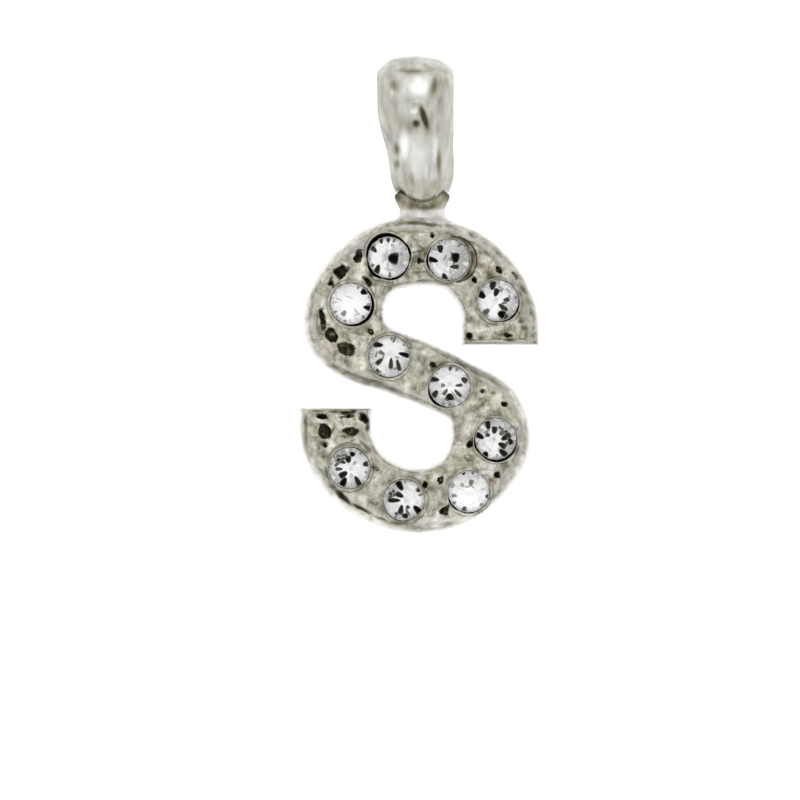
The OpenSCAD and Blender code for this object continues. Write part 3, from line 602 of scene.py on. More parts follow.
def past_cup(i, points):
    """How far places lie past the edge of stone i's cup, and how much wider the cup is there."""
    gap = points - stone_place(i)
    extra = cup_play(i, np.degrees(np.arctan2(gap[:, 1], gap[:, 0])))
    return np.linalg.norm(gap, axis=1) - stone_r - cup_gap - extra, extra


def past_well(well, points):
    """How far places lie past the edge of a well."""
    stone, right, up = well[:3]
    middle = stone_place(stone) + stone_d * np.array([right, up])
    return np.linalg.norm(points - middle, axis=1) - cup_r - collar_w / 3


def pit_floor(points):
    """How far into a pit each place is, from 0 to 1."""
    into_pit = np.zeros(len(points))
    flat = np.column_stack([points, np.zeros(len(points))])
    ragged = pit_ragged * noise(flat, 0.22, 41) + pit_ragged_fine * noise(flat, 0.1, 43)
    for share, across, length, width, turn, corners in PITS:
        middle = place(share, across * half_w)
        near = np.abs(points - middle).max(axis=1) < half_w * max(length, width) + 0.1
        if not near.any():
            continue
        turn += run_angle(share)
        gap = (points[near] - middle) / (half_w / 2)
        q = np.column_stack([gap @ clock(turn) / length, gap @ clock(turn + 90) / width])
        apothem = math.cos(math.pi / corners)
        total = 1e-9
        for c in range(corners):
            total = total + np.maximum(q @ clock((c + 1) * 360 / corners) / apothem, 0) ** corner_power
        reach = half_w / 2 * min(length, width)
        into = apothem * (1 - total ** (1 / corner_power)) * reach + ragged[near]
        into_pit[near] = np.maximum(into_pit[near], smooth((into + 0.06) / 0.12))
    return into_pit


def raised(points, base):
    """The face's height with its ridges and grains."""
    height = base.copy()
    for s0, a0, s1, a1 in RIDGES:
        a, b = place(s0, a0 * half_w), place(s1, a1 * half_w)
        t = np.clip((points - a) @ (b - a) / ((b - a) @ (b - a)), 0, 1)
        far = np.linalg.norm(points - a - t[:, None] * (b - a), axis=1)
        crest = smooth(1.2 - far / (ridge_w * 0.4)) * (0.7 + 0.3 * np.sin(t * 3))
        height = np.maximum(height, base + 0.8 * ridge_h * crest)
    for s0, a0, d in GRAINS:
        far = np.linalg.norm(points - place(s0, a0 * half_w), axis=1)
        r = d * half_w / 2
        cap = field_h + np.sqrt(np.maximum(r * r - far * far, 0)) - grain_sink_share * r
        height = np.where(far < r, np.maximum(height, cap), height)
    return height


def creases(share, across, flat):
    """Depth and darkness of the creases along the foot of the broad border."""
    left_side = share > (swap_from_share + swap_to_share) / 2
    inset = np.where(left_side, *insets(share, across))
    foot = np.where(left_side, border_width(share, True), border_width(share, False))
    wander = 0.05 * noise(flat, 0.9, 12)
    depth, dark = np.zeros((2, len(flat)))
    for s0, s1, *sizes in CREASES:
        deep, width = letter_t * np.array(sizes)
        along = smooth((share - s0) / 0.008) * smooth((s1 - share) / 0.008)
        inside = np.exp(-(((inset - foot * 0.93 + wander) / width) ** 2)) * along
        depth += deep * inside
        dark = np.maximum(dark, inside * min(1, deep * 9))
    return depth, dark


def round_stones(points, flat, grit, height, dark):
    """The height and darkness of the face, with the wells and the collars of the cups."""
    for well in WELLS:
        deep = well[3] * stone_d
        inside = smooth((0.03 * grit - past_well(well, points)) / 0.09 + 0.5)
        height = mix(height, np.minimum(height, field_h - deep), inside)
        dark = np.maximum(dark, (0.25 + 1.2 * deep) * inside * (0.8 + 0.4 * grit))
    for i in range(len(STONES)):
        over, extra = past_cup(i, points)
        uneven = 0.03 * noise(flat, 0.3, 50 + i)
        worn = collar_worn * smooth(0.4 - noise(flat, 0.8, 70 + i))
        outer, inner = smooth((over - 0.04 + uneven) / 0.075), smooth((0.03 - over) / 0.03)
        collar = collar_h - worn - collar_fall * outer - collar_lip * inner
        height = np.where(over < collar_w, np.maximum(height, collar), height)
        dark = np.where(over < 0.12, dark * smooth(0.3 + over / 0.12), dark)
        patchy = smooth(0.6 + noise(flat, 0.6, 90 + i))
        dark = np.maximum(dark, 0.5 * patchy * np.exp(-(((over - 0.14 + uneven) / 0.04) ** 2)))
        # Painted shadow: the lip is darkened where the cup is wider than its stone.
        dark = np.maximum(dark, 0.9 * smooth(extra / play_full) * smooth(0.5 - (over - 0.01) / 0.03))
    return height, dark


def face_height(points, share, across):
    """Height of the dressed face, and its marks from 0 to 1: how dark (stains, with painted shadow at the
    cups), how smooth, and how bright (pale places, with a painted highlight at the edge).
    """
    flat = np.column_stack([points, np.zeros(len(points))])
    wander = 0.16 * noise(flat, 0.7, 11) + 0.08 * noise(flat, 0.25, 15)
    base = with_neck_root(points, body_height(share, across, wander))
    on_border = smooth((base - field_h) / field_drop)

    # Rough cast skin: lumps, finer grit and a few cracks between the lumps, all weaker on the border.
    lumps, grit = layered(flat, lump_size, 3), layered(flat, grit_size, 7, 2)
    crack = smooth(1 - np.abs(noise(flat, 0.38, 23)) / 0.14) * smooth(0.4 + 1.2 * noise(flat, 1.0, 29))
    rough = mix(1, border_roughness, on_border)
    relief = rough * (lump_h * lumps + grit_h * grit - crack_h * crack)
    skin_dark = rough * (0.26 * smooth(-lumps) + 0.22 * smooth(-2 * grit) + 0.36 * crack)

    crease_depth, crease_dark = creases(share, across, flat)
    depth, stain, bright = marks_on(points + 0.03 * noise(flat, 0.25, 47)[:, None], LETTER_MARKS, letter_h)
    height = raised(points, base) - crease_depth + relief - depth
    dark = np.maximum(np.maximum(crease_dark, skin_dark), stain)
    height, dark = round_stones(points, flat, grit, height, dark)

    pits = pit_floor(points)
    height = height - pits * (pit_depth + 0.10 * lumps + 0.08 * grit)
    specks = np.maximum(noise(flat, 0.17, 45), 0)
    dark = np.maximum(dark, smooth(pits * 1.1) * (0.88 + 0.1 * grit - 0.6 * specks))
    # Pale places, and a painted highlight towards the border's outer edge.
    bright = np.maximum(bright, painted_edge_highlight(share, across, flat)) * (1 - dark)
    return height, np.clip(dark, 0, 1), np.clip(on_border * (1 - dark), 0, 1), np.clip(bright, 0, 1)


def marks_on(places, table, unit_size):
    """Depth, darkness and brightness that a table of marks gives at places [across, up]."""
    depth, dark, bright = np.zeros((3, len(places)))
    for x, z, length, width, turn, deep, stain in table:
        gap = places - unit_size * np.array([x, z])
        near = np.abs(gap).max(axis=1) < 1.2 * unit_size * max(length, width)
        gap = gap[near] / unit_size
        far = (gap @ clock(turn) / (length / 2)) ** 2 + (gap @ clock(turn + 90) / (width / 2)) ** 2
        mark = np.exp(-0.7 * far * (1 + 0.6 * far))
        depth[near] += deep * letter_t * mark
        dark[near] = np.maximum(dark[near], np.minimum(stain * mark, 1))
        bright[near] = np.maximum(bright[near], np.minimum(-stain * mark, 1))
    return depth, dark, bright


def painted_edge_highlight(share, across, flat):
    """A painted highlight on the border towards its outer edge, from 0 to 1: most at the foot of the
    letter.
    """
    to_left, to_right = insets(share, across)
    reach = np.full(len(flat), edge_highlight_w)
    for s0, s1, side, wide in EDGE_HIGHLIGHT_BANDS:
        along = smooth((share - s0) / 0.03) * smooth((s1 - share) / 0.03)
        near_side = side * to_left < side * to_right
        reach = reach + (wide * letter_t - edge_highlight_w) * along * near_side
    inset = np.maximum(np.minimum(to_left, to_right), 0)
    bright = 0.7 * np.exp(-((inset / (reach * (1 + 0.25 * noise(flat, 0.7, 33)))) ** 2))
    return bright * (1 - neck_root(flat))


def stand(flat_points, height):
    """Places on the letter [across, up] at a height from its back, as points of the row frame."""
    out = np.broadcast_to(letter_t / 2 - height, len(flat_points))
    return np.column_stack([flat_points[:, 0], out, flat_points[:, 1]])


def triangles_of(faces):
    return np.array([[f[0], f[k], f[k + 1]] for f in faces for k in range(1, len(f) - 1)])


def normals_of(points, tris):
    a, b, c = points[tris].transpose(1, 0, 2)
    n = np.cross(b - a, c - a)
    total = np.zeros_like(points)
    for k in range(3):
        np.add.at(total, tris[:, k], n)
    return total / np.maximum(np.linalg.norm(total, axis=1, keepdims=True), 1e-12)


def pushed(points, faces, depth):
    """The points moved along the skin's own direction."""
    return points + depth[:, None] * normals_of(points, triangles_of(faces))


def add_piece(name, points, faces, materials, nodes, marks=None, face_materials=None, flat=False):
    """Makes one piece from points in millimetres, and puts it in the place of its CAD nodes."""
    mesh = bpy.data.meshes.new(name)
    mesh.from_pydata((np.asarray(points) * MM).tolist(), [], [list(map(int, f)) for f in faces])
    for material in materials:
        mesh.materials.append(material)
    if face_materials is not None:
        mesh.polygons.foreach_set("material_index", np.asarray(face_materials, dtype=np.int32))
    mesh.polygons.foreach_set("use_smooth", np.full(len(mesh.polygons), not flat))
    for key, values in (marks or {}).items():
        layer = mesh.attributes.new(key, "FLOAT", "POINT")
        layer.data.foreach_set("value", np.asarray(values, dtype=np.float32))
    mesh.update()
    piece = bpy.data.objects.new(name, mesh)
    bpy.context.scene.collection.objects.link(piece)
    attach(piece, "root")
    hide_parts(*nodes)


def ring_faces(rings, count, first=0):
    """Four-sided faces between closed rings of count points that follow one another."""
    return [
        [first + r * count + k, first + r * count + (k + 1) % count,
         first + (r + 1) * count + (k + 1) % count, first + (r + 1) * count + k]
        for r in range(rings - 1) for k in range(count)
    ]


# The letter.
side_steps = 372
end_steps = 38
side_rings = 9
bevel_turns = np.array([0.35, 0.75]) * math.pi / 2
BORDER_STEPS = np.array([0.04, 0.1, 0.18, 0.28, 0.4, 0.54, 0.68, 0.84, 1.0])
end_reach = 0.09
lip = 0.035
cup_steps = 96
face_step = 0.052
fine_step = 0.027
back_step = 0.085
margin_reach = 2.4


def loop_place(out_share, end_inset):
    """Share and distance to the left of the points of a ring round the letter.

    out_share is how far in from the edge the ring lies on the long sides, from 0 to 1, and end_inset the
    same at the free ends, in millimetres."""
    margin = end_inset / stroke_l
    along = np.linspace(margin, 1 - margin, side_steps)
    ends = np.linspace(0, 1, end_steps + 2)[1:-1]

    def edge(share, left):
        return half_width(share, left) - out_share * side_reach(share, left)

    far = mix(edge(1 - margin, True), -edge(1 - margin, False), ends)
    near = mix(-edge(margin, False), edge(margin, True), ends)
    share = np.concatenate([along, np.full(end_steps, 1 - margin), along[::-1], np.full(end_steps, margin)])
    return share, np.concatenate([edge(along, True), far, -edge(along[::-1], False), near])


def side_reach(share, left):
    """How far in from the edge the face's own mesh starts, less where a stone's cup comes close."""
    share = np.atleast_1d(np.asarray(share, float))
    half = half_width(share, left)
    edge = place(share, half if left else -half)
    reach = 0.4 * border_width(share, left)
    for i in range(len(STONES)):
        clear = past_cup(i, edge)[0] - lip - 0.06
        reach = np.minimum(reach, np.maximum(clear, 0.05))
    return reach


def hex_grid(step):
    """Places in staggered rows over the whole letter."""
    low, high = line.min(axis=0) - margin_reach, line.max(axis=0) + margin_reach
    rows = np.arange(low[1], high[1], step * math.sqrt(3) / 2)
    cols = np.arange(low[0], high[0], step)
    x = cols[None, :] + (np.arange(len(rows)) % 2)[:, None] * step / 2
    y = np.broadcast_to(rows[:, None], x.shape)
    return np.column_stack([x.ravel(), y.ravel()])


def detail_near(points):
    """True where the face needs its finest mesh: at pits, wells and the collars of the cups."""
    fine = pit_floor(points) > 0.001
    for share, across, length, width, *_ in PITS:
        reach = half_w / 2 * max(length, width) + 0.04
        fine |= np.linalg.norm(points - place(share, across * half_w), axis=1) < reach
    for well in WELLS:
        fine |= np.abs(past_well(well, points)) < 0.08
    for i in range(len(STONES)):
        fine |= past_cup(i, points)[0] < 0.15
    return fine


def face_points():
    """Places inside the letter's innermost ring, fine where there is detail, clear of the cups."""
    kept = []
    for step, fine in ((face_step, False), (fine_step, True)):
        grid = hex_grid(step)
        share, across = stroke_place(grid)
        left, right = insets(share, across)
        left, right = left - side_reach(share, True), right - side_reach(share, False)
        end = np.minimum(share, 1 - share) * stroke_l - end_reach
        grid = grid[np.minimum(np.minimum(left, right), end) > 0.03]
        grid = grid[detail_near(grid) == fine]
        for i in range(len(STONES)):
            grid = grid[past_cup(i, grid)[0] > lip + 0.5 * step]
        kept.append(grid)
    return np.concatenate(kept)


def skin_relief(flat):
    """Height of the back above or below its flat plane: a soft cast skin with a few shallow dimples."""
    spot = np.column_stack([flat, np.full(len(flat), 3.3)])
    dimples = smooth((noise(spot, 0.5, 103) - 0.55) / 0.3) * smooth(noise(spot, 1.7, 107) + 0.6)
    lumps, grit = layered(spot, 0.9, 101), noise(spot, 0.25, 105)
    return back_lump_h * lumps + back_grit_h * grit - back_dimple_h * dimples


def back_points():
    """Places of the back's mesh inside its bevelled edge."""
    grid = hex_grid(back_step)
    share, across = stroke_place(grid)
    inset = np.minimum(*insets(share, across))
    inset = np.minimum(inset, np.minimum(share, 1 - share) * stroke_l)
    return grid[inset > back_bevel + 0.6 * back_step]


def within(places, loop):
    """True for the places inside a closed loop of points."""
    ahead = np.roll(loop, -1, axis=0)
    x, y = places[:, :1], places[:, 1:]
    spans = (loop[:, 1] > y) != (ahead[:, 1] > y)
    rise = np.where(spans, ahead[:, 1] - loop[:, 1], 1)
    meets = loop[:, 0] + (y - loop[:, 1]) * (ahead[:, 0] - loop[:, 0]) / rise
    return (spans & (x < meets)).sum(axis=1) % 2 == 1


def fill(flat, edges, rim_count):
    """Triangles between flat points that keep the edges, inside the loop of the first rim_count points."""
    result = delaunay_2d_cdt([Vector(p) for p in flat.tolist()], edges, [], 0, 1e-6, True)
    origin = np.array([o[0] if o else -1 for o in result[3]])
    tris = origin[np.array(result[2])]
    tris = tris[(tris >= 0).all(axis=1)]
    on_rim = np.flatnonzero((tris < rim_count).all(axis=1))
    outside = on_rim[~within(flat[tris[on_rim]].mean(axis=1), flat[:rim_count])]
    return np.delete(tris, outside, axis=0)


def facing(points, tris, side):
    """The triangles turned so that each looks towards -Y, or towards +Y if side is 1."""
    a, b, c = points[tris].transpose(1, 0, 2)
    turned = np.cross(b - a, c - a)[:, 1] * side < 0
    tris[turned] = tris[turned][:, ::-1]
    return tris


class Skin:
    """The letter's skin, gathered part by part: its points, their marks, and its faces."""

    def __init__(self):
        self.parts, self.faces, self.count = [], [], 0

    def add(self, flat, height, dark, polish, shine=0.0):
        """Adds places at their heights, with their marks, and returns their numbers."""
        marks = [np.broadcast_to(mark, len(flat)) for mark in (dark, polish, shine)]
        self.parts.append([stand(flat, height)] + marks)
        self.count += len(flat)
        return self.count - len(flat) + np.arange(len(flat))

    def columns(self):
        return [np.concatenate(column) for column in zip(*self.parts)]

    def cover(self, loops, flat, height, marks, side):
        """Spans the inside of the first loop, but not of the others, with a mesh through places."""
        parts = loops + [self.add(flat, height, *marks)]
        kind = np.repeat(np.arange(len(parts)), [len(part) for part in parts])
        edges, start = [], 0
        for loop in loops:
            numbers = start + np.arange(len(loop))
            edges += zip(numbers.tolist(), np.roll(numbers, -1).tolist())
            start += len(loop)
        used, points = np.concatenate(parts), self.columns()[0]
        tris = fill(points[used][:, [0, 2]], edges, len(loops[0]))
        corner = kind[tris]
        in_hole = (corner == corner[:, :1]).all(axis=1) & (corner[:, 0] > 0) & (corner[:, 0] < len(loops))
        self.faces += facing(points, used[tris[~in_hole]], side).tolist()


def add_sides(skin):
    """Adds the rings from the back up over the border, and returns the first and the last of them."""
    edge_share, edge_across = loop_place(0, 0)
    edge = place(edge_share, edge_across)
    edge_h = with_neck_root(edge, body_height(edge_share, edge_across))
    on_side = np.concatenate([np.ones(side_steps), np.zeros(end_steps)] * 2)
    edge_bright = on_side * (1 - neck_root(edge))
    back_across = np.where(on_side > 0, edge_across - np.sign(edge_across) * back_bevel,
                           edge_across * (1 - back_bevel / half_w))
    shrunk = place(loop_place(0, back_bevel)[0], back_across)
    first = skin.add(shrunk, 0, 0.1, 0.6, 0.1)
    for turn in bevel_turns:
        skin.add(mix(shrunk, edge, math.sin(turn)), back_bevel * (1 - math.cos(turn)), 0.05, 0.7, 0.2)
    # Painted highlight on the upper part of the long sides.
    for t in np.linspace(0, 1, side_rings):
        shine = edge_bright * mix(0.1, 0.5, smooth(4 * t - 3))
        skin.add(edge, mix(back_bevel, edge_h, t), 0.03, 0.7, shine)
    for t in BORDER_STEPS:
        share, across = loop_place(t, end_reach * t)
        flat = place(share, across)
        height, dark, polish, shine = face_height(flat, share, across)
        polish = np.maximum(polish, 0.8 * (1 - t))
        # Painted highlight at the border's outer edge.
        shine = np.maximum(shine, 0.5 * (1 - 3 * t) * edge_bright)
        last = skin.add(flat, height, dark * smooth(t), polish, shine)
    skin.faces += [f[::-1] for f in ring_faces(len(skin.parts), len(first))]
    return first, last


def add_cup(skin, i):
    """Stone i's cup, from the point at its bottom to the lip at the face, whose numbers it returns."""
    turns = np.arange(cup_steps) * 360 / cup_steps
    extra = cup_play(i, turns)
    reach, play = stone_r + cup_gap + extra, smooth(extra / play_full)

    def ring(radius):
        return stone_place(i) + radius[:, None] * clock(turns)

    lip_flat = ring(reach + lip)
    lip_h, dark, polish, shine = face_height(lip_flat, *stroke_place(lip_flat))
    wall_low = girdle_top - girdle_h - cup_clear
    # The cup's inside is painted black as shade, and its upper wall and lip are painted dark where the cup
    # has play: painted shadow in the gap round the stone.
    tip = skin.add(stone_place(i)[None], wall_low - pavilion_h, 1, 0)[0]
    skin.add(ring(0.5 * reach), wall_low - pavilion_h / 2, 1, 0)
    skin.add(ring(reach - 0.01), wall_low, 1, 0)
    skin.add(ring(reach - 0.005), mix(wall_low, lip_h, 0.6), 0.04 + 0.96 * play, 0)
    skin.add(ring(reach + 0.004), lip_h - 0.015, 0.9 * play, 0.3)
    mouth = skin.add(lip_flat, lip_h, dark, np.maximum(polish, 0.5), shine)
    skin.faces += [[tip, tip + 1 + k, tip + 1 + (k + 1) % cup_steps] for k in range(cup_steps)]
    skin.faces += [[a, d, c, b] for a, b, c, d in ring_faces(5, cup_steps, tip + 1)]
    return mouth


def build_letter(materials):
    skin = Skin()
    back_rim, rim = add_sides(skin)
    cup_rims = [add_cup(skin, i) for i in range(len(STONES))]
    inner = face_points()
    height, *marks = face_height(inner, *stroke_place(inner))
    skin.cover([rim] + cup_rims, inner, height, marks, -1)
    back = back_points()
    low = skin_relief(back)
    skin.cover([back_rim], back, -low, (0.25 * smooth(-30 * low - 0.2), 0.82), 1)

    # Fine grit over the sides, weaker towards the face and the back.
    points, dark, polish, shine = skin.columns()
    rings = np.concatenate([[0], 0.3 * np.ones(len(bevel_turns)), np.ones(side_rings), 1 - BORDER_STEPS])
    level = np.zeros(len(points))
    level[:len(rings) * len(rim)] = np.repeat(rings, len(rim))
    relief = side_lump_h * layered(points, 0.5, 61) + side_grit_h * layered(points, 0.2, 67, 2)
    points = pushed(points, skin.faces, level * relief)
    add_piece("letter_body", points, skin.faces, materials, ["letter_setting"],
              {"stain_and_painted_shade": dark, "polish": polish, "shine": shine})


# The neck: rounded rings stacked from inside the letter up to the block that carries the bail's foot.
def build_neck(materials):
    rows, around = 64, 184
    block_top = -bail_hole_h - neck_play
    level = np.linspace(letter_top - neck_sunk, block_top, rows)
    half, root_r = neck_w / 2, 1.8 * neck_flare
    lift = np.clip((level - letter_top + 0.8 * neck_flare) / root_r, 0, 1)
    flare = root_r * (1 - np.sqrt(1 - (1 - lift) ** 2))
    s = np.clip((level - bail_foot_z) / (block_top - bail_foot_z), 0, 1)
    ear = np.clip((level - block_top + neck_ear_r) / neck_ear_r, 0, 1)
    ear = neck_ear_r * (1 - np.sqrt(1 - ear**2))
    wide = half + flare + neck_block * mix(s, np.sin(s * math.pi / 2), 0.5) - 0.7 * ear
    shrink = neck_top_round * smooth((level - block_top + neck_top_h) / neck_top_h)
    way = clock(np.arange(around) * 360 / around)
    square = np.sign(way) * np.minimum(np.abs(way) * 1.3, 1) ** 0.7
    out = square[:, 0] * (wide - shrink)[:, None]
    thin = 1 - 0.8 * smooth((np.abs(out) - half) / root_r) * (flare > 0)[:, None]
    deep = square[:, 1] * neck_t / 2 * (1 - shrink)[:, None] * thin
    points = np.column_stack([neck_shift + out.ravel(), deep.ravel(), np.repeat(level, around)])
    faces = ring_faces(rows, around)
    faces += [list(range(around))[::-1], [(rows - 1) * around + k for k in range(around)]]
    block = smooth((points[:, 2] - bail_foot_z + 0.2) / 0.24)
    lumps, grit = layered(points, 0.42, 71), layered(points, 0.16, 73, 2)
    points = pushed(points, faces, mix(0.03, 0.012, block) * lumps + mix(0.014, 0.002, block) * grit)
    # Painted shadow: the block is painted darker towards the crease where the bail's rounded foot meets it.
    round_r = bail_w * foot_round_share
    crease = np.hypot(points[:, 0] - neck_shift, points[:, 2] - bail_foot_z - round_r) - round_r
    shade = block * (0.03 + 0.36 * np.exp(-((np.maximum(crease, 0) / 0.2) ** 2)))
    dark = 0.05 + 0.13 * noise(points * [1.6, 1, 1], 0.3, 77) + shade
    shine = (1 - block) * np.clip(0.34 + 0.3 * noise(points, 0.34, 79), 0, 1)
    add_piece("neck", points, faces, materials, ["letter_setting"],
              {"stain_and_painted_shade": np.clip(dark, 0, 1), "polish": 0.5 * (1 - block), "shine": shine})


# The bail: rings round the band, each from one edge over the face to the other and back inside the hole.
bail_span = bail_hole_h - bail_hole_r - bail_foot_r
bail_taper = math.degrees(math.asin((bail_hole_r - bail_foot_r) / bail_span))


def band_steps():
    """[turn of the band's outward direction above level at the front, share of the leg]."""
    top = [[-bail_taper + t * (180 + 2 * bail_taper), 0] for t in np.linspace(0, 1, 101)]
    back = [[180 + bail_taper, t] for t in np.linspace(0, 1, 41)[1:-1]]
    foot = [[180 + bail_taper + t * (180 - 2 * bail_taper), 1] for t in np.linspace(0, 1, 97)]
    front = [[360 - bail_taper, t] for t in np.linspace(1, 0, 101)[1:-1]]
    return top + back + foot + front


def build_bail(materials):
    face = np.concatenate([-np.linspace(1, 0, 41), np.linspace(0, 1, 41)[1:]])
    inside = np.linspace(bail_inside_share, -bail_inside_share, 12)
    across = np.concatenate([face, inside])
    plain, beside = curve(BAIL_FACE, np.abs(face), 1), curve(BAIL_FACE, np.abs(face), 2)
    points, dark = [], []
    for a, leg in band_steps():
        out = np.array([-math.cos(math.radians(a)), math.sin(math.radians(a))])
        top = np.array([0, -bail_hole_r]) + bail_hole_r * out
        low = np.array([0, -bail_hole_r - bail_span]) + bail_foot_r * out
        show = a - 360 if a > 180 else a
        panel, groove = [np.interp(show, BAIL_PANEL[:, 0], BAIL_PANEL[:, k]) for k in (1, 2)]
        rise = mix(plain, beside, panel) - groove * np.maximum(plain - groove_share, 0)
        rise = bail_t * np.concatenate([rise, np.zeros(len(inside))])
        y, z = (mix(top, low, leg) + rise[:, None] * out).T
        drop = (bail_t - z) / (bail_t - bail_foot_z)
        shifted = smooth((shift_to_share - drop) / (shift_to_share - shift_from_share))
        middle = neck_shift - bail_top_shift * shifted
        half = bail_w / 2 * curve(BAIL_WIDTH, np.clip(drop, 0, 1), 1)
        points.append(np.column_stack([middle + across * half, y, z]))
        # Painted shade along the panel's creases, in its groove and all over the inside of the loop.
        crease = panel * np.exp(-(((np.abs(across) - panel_share) / panel_crease) ** 2))
        crease[len(face):] = 1
        dark.append(0.25 * np.maximum(crease, groove * (np.abs(across) < 0.55)))
    rings, count = len(points), len(across)
    points, dark = np.concatenate(points), np.concatenate(dark)
    faces = [[k % (rings * count) for k in f] for f in ring_faces(rings + 1, count)]
    normal = normals_of(points, triangles_of(faces))
    front = smooth((-normal[:, 1] - 0.1) / 0.2)
    # The marks' stains and painted dark reflections go into the dark mask, and their painted highlights
    # into shine, on the front only.
    depth, stain, bright = marks_on(points[:, [0, 2]], BAIL_MARKS, bail_w)
    lumps, grit = layered(points * [1, 1, 0.35], 0.7, 81, 2), noise(points, 0.3, 85)
    points = points + (bail_lump_h * lumps + bail_grit_h * grit - depth * front)[:, None] * normal
    add_piece("bail_loop", points, faces, materials, ["letter_setting"],
              {"stain_and_painted_shade": np.maximum(dark * (1 - bright), stain * front), "shine": bright * front})


# The stones, and the places of their materials in the list.
glass_part, foil_part, painted_reflection_part, backing_part = range(4)


def turn_about(axis, degrees):
    c, s = math.cos(math.radians(degrees)), math.sin(math.radians(degrees))
    if axis == 0:
        return np.array([[1, 0, 0], [0, c, -s], [0, s, c]])
    return np.array([[c, -s, 0], [s, c, 0], [0, 0, 1]])


def at_stone(i, local):
    """Points [across, up, out] measured from the middle of stone i's girdle, as points of the row frame."""
    lean_way = i * lean_step_angle
    turn, lean = STONES[i][2], STONES[i][3]
    spin = turn_about(2, lean_way) @ turn_about(0, lean) @ turn_about(2, turn - lean_way)
    q = np.asarray(local) @ spin.T
    middle = stone_place(i)
    return stand(q[:, :2] + middle, q[:, 2] + girdle_top)


def ring_at(count, radius, first, level):
    """A ring of places [across, up, out] on a stone."""
    return np.column_stack([radius * clock(first + np.arange(count) * 360 / count), np.full(count, level)])


def stone_points():
    """The corners of a stone: table, crown, girdle above and below, belly and point."""
    crown_r = (table_r + stone_r) / 2
    belly_r = belly_share * stone_r
    flat_share = math.cos(math.radians(22.5))
    crown_z = crown_h * (stone_r - crown_r * flat_share) / (stone_r - table_r)
    belly_z = -girdle_h - pavilion_h * (1 - belly_r * flat_share / stone_r)
    return np.concatenate([
        ring_at(8, table_r, 0, crown_h), ring_at(8, crown_r, 22.5, crown_z), ring_at(16, stone_r, 0, 0),
        ring_at(16, stone_r, 0, -girdle_h), ring_at(8, belly_r, 22.5, belly_z),
        [[0, 0, -girdle_h - pavilion_h]],
    ])


def stone_faces():
    """The crown's faces with the girdle, then the pavilion's."""
    crown, pavilion = [[0, 1, 2, 3, 4, 5, 6, 7]], []
    for k in range(8):
        after = (k + 1) % 8
        star, star_before = 8 + k, 8 + (k + 7) % 8
        g, far = 16 + 2 * k, 16 + 2 * after
        low, belly, belly_before = g + 16, 48 + k, 48 + (k + 7) % 8
        crown += [[k, star, after], [k, star_before, g, star], [star, g, g + 1], [star, g + 1, far]]
        crown += [[g, low, low + 1, g + 1], [g + 1, low + 1, far + 16, far]]
        pavilion += [[low, belly, low + 1], [low + 1, belly, far + 16], [low, belly_before, 56, belly]]
    return crown, pavilion


def foil_level(far):
    """Height of the mirror foil at a distance from the stone's middle."""
    ring_r = foil_ring_share * stone_r
    outer = -girdle_h - (stone_r - np.maximum(far, ring_r)) * math.tan(foil_rim_slope)
    return outer - (ring_r - np.minimum(far, ring_r)) * math.tan(foil_middle_slope)


def foil_points(i):
    """The foil's corners inside the girdle: a ring and the middle, each stone's own a little uneven."""
    ring = ring_at(16, foil_ring_share * stone_r, 0, foil_level(foil_ring_share * stone_r))
    uneven = noise(np.column_stack([ring[:, :2] * 3, np.full(16, 7.7 * i)]), 1.0, 5)
    ring[:, 2] += foil_twist * np.where(np.arange(16) % 2, 1, -1) + 0.008 * uneven
    return np.concatenate([ring, [[0, 0, foil_level(0)]]])


def crown_level(at):
    """Height of the crown's facets at places [across, up] on a stone."""
    p = stone_points()
    best = np.full(len(at), 9.0)
    for f in stone_faces()[0]:
        a, b, c = p[f[0]], p[f[1]], p[f[2]]
        n = np.cross(b - a, c - a)
        if abs(n[2]) > 1e-6:
            best = np.minimum(best, a[2] - ((at - a[:2]) @ n[:2]) / n[2])
    return best


def girdle_notches(i):
    """Small grey painted reflections of the setting in the facets along the girdle, as more rows of PETALS.
    """
    spots = np.column_stack([np.arange(16), np.full(16, i), np.zeros(16)]).astype(np.int64)
    return [
        [k * 22.5 + STONES[i][2], 0.92 - 0.05 * size, 0.22 + 0.12 * size, 0.12, 6 * tone, 0.6 + 0.25 * tone]
        for k, (size, tone) in enumerate(zip(lattice(spots, 3), lattice(spots, 4)))
    ]


def petal(way, distance, length, width, turn, pale):
    """Places of a painted dark reflection's grid, a wedge pointed towards the stone's middle, and its
    tones.
    """
    t, s = np.meshgrid(np.linspace(0, 1, petal_steps[0]), np.linspace(-1, 1, petal_steps[1]), indexing="ij")
    side = petal_swell * np.interp(t, [0, 0.2, 0.55, 0.85, 1.0], [0.14, 0.34, 0.5, 0.5, 0.34])
    reach = (t - 0.5) * length * petal_length
    out = reach[..., None] * clock(way + turn) + (s * side * width)[..., None] * clock(way + turn + 90)
    # It is pale at its rim.
    rim = smooth((np.maximum(np.abs(s), np.abs(2 * t - 1) ** 2) - 0.6) / 0.4)
    return stone_r * (distance * clock(way) + out).reshape(-1, 2), mix(pale, 1, petal_fade * rim).ravel()


def slab_faces(rows, cols, first):
    """Faces of a thin closed slab: a grid of points for its top, then the same for its underside."""
    below = rows * cols
    faces = []
    for r in range(rows - 1):
        for c in range(cols - 1):
            k = first + r * cols + c
            top = [k, k + cols, k + cols + 1, k + 1]
            faces += [top, [below + corner for corner in (k, k + 1, k + cols + 1, k + cols)]]
    rim = list(range(cols)) + [r * cols + cols - 1 for r in range(1, rows)]
    rim += [(rows - 1) * cols + c for c in range(cols - 2, -1, -1)]
    rim += [r * cols for r in range(rows - 2, 0, -1)]
    for k, after in zip(rim, rim[1:] + rim[:1]):
        faces.append([first + k, first + after, first + after + below, first + k + below])
    return faces


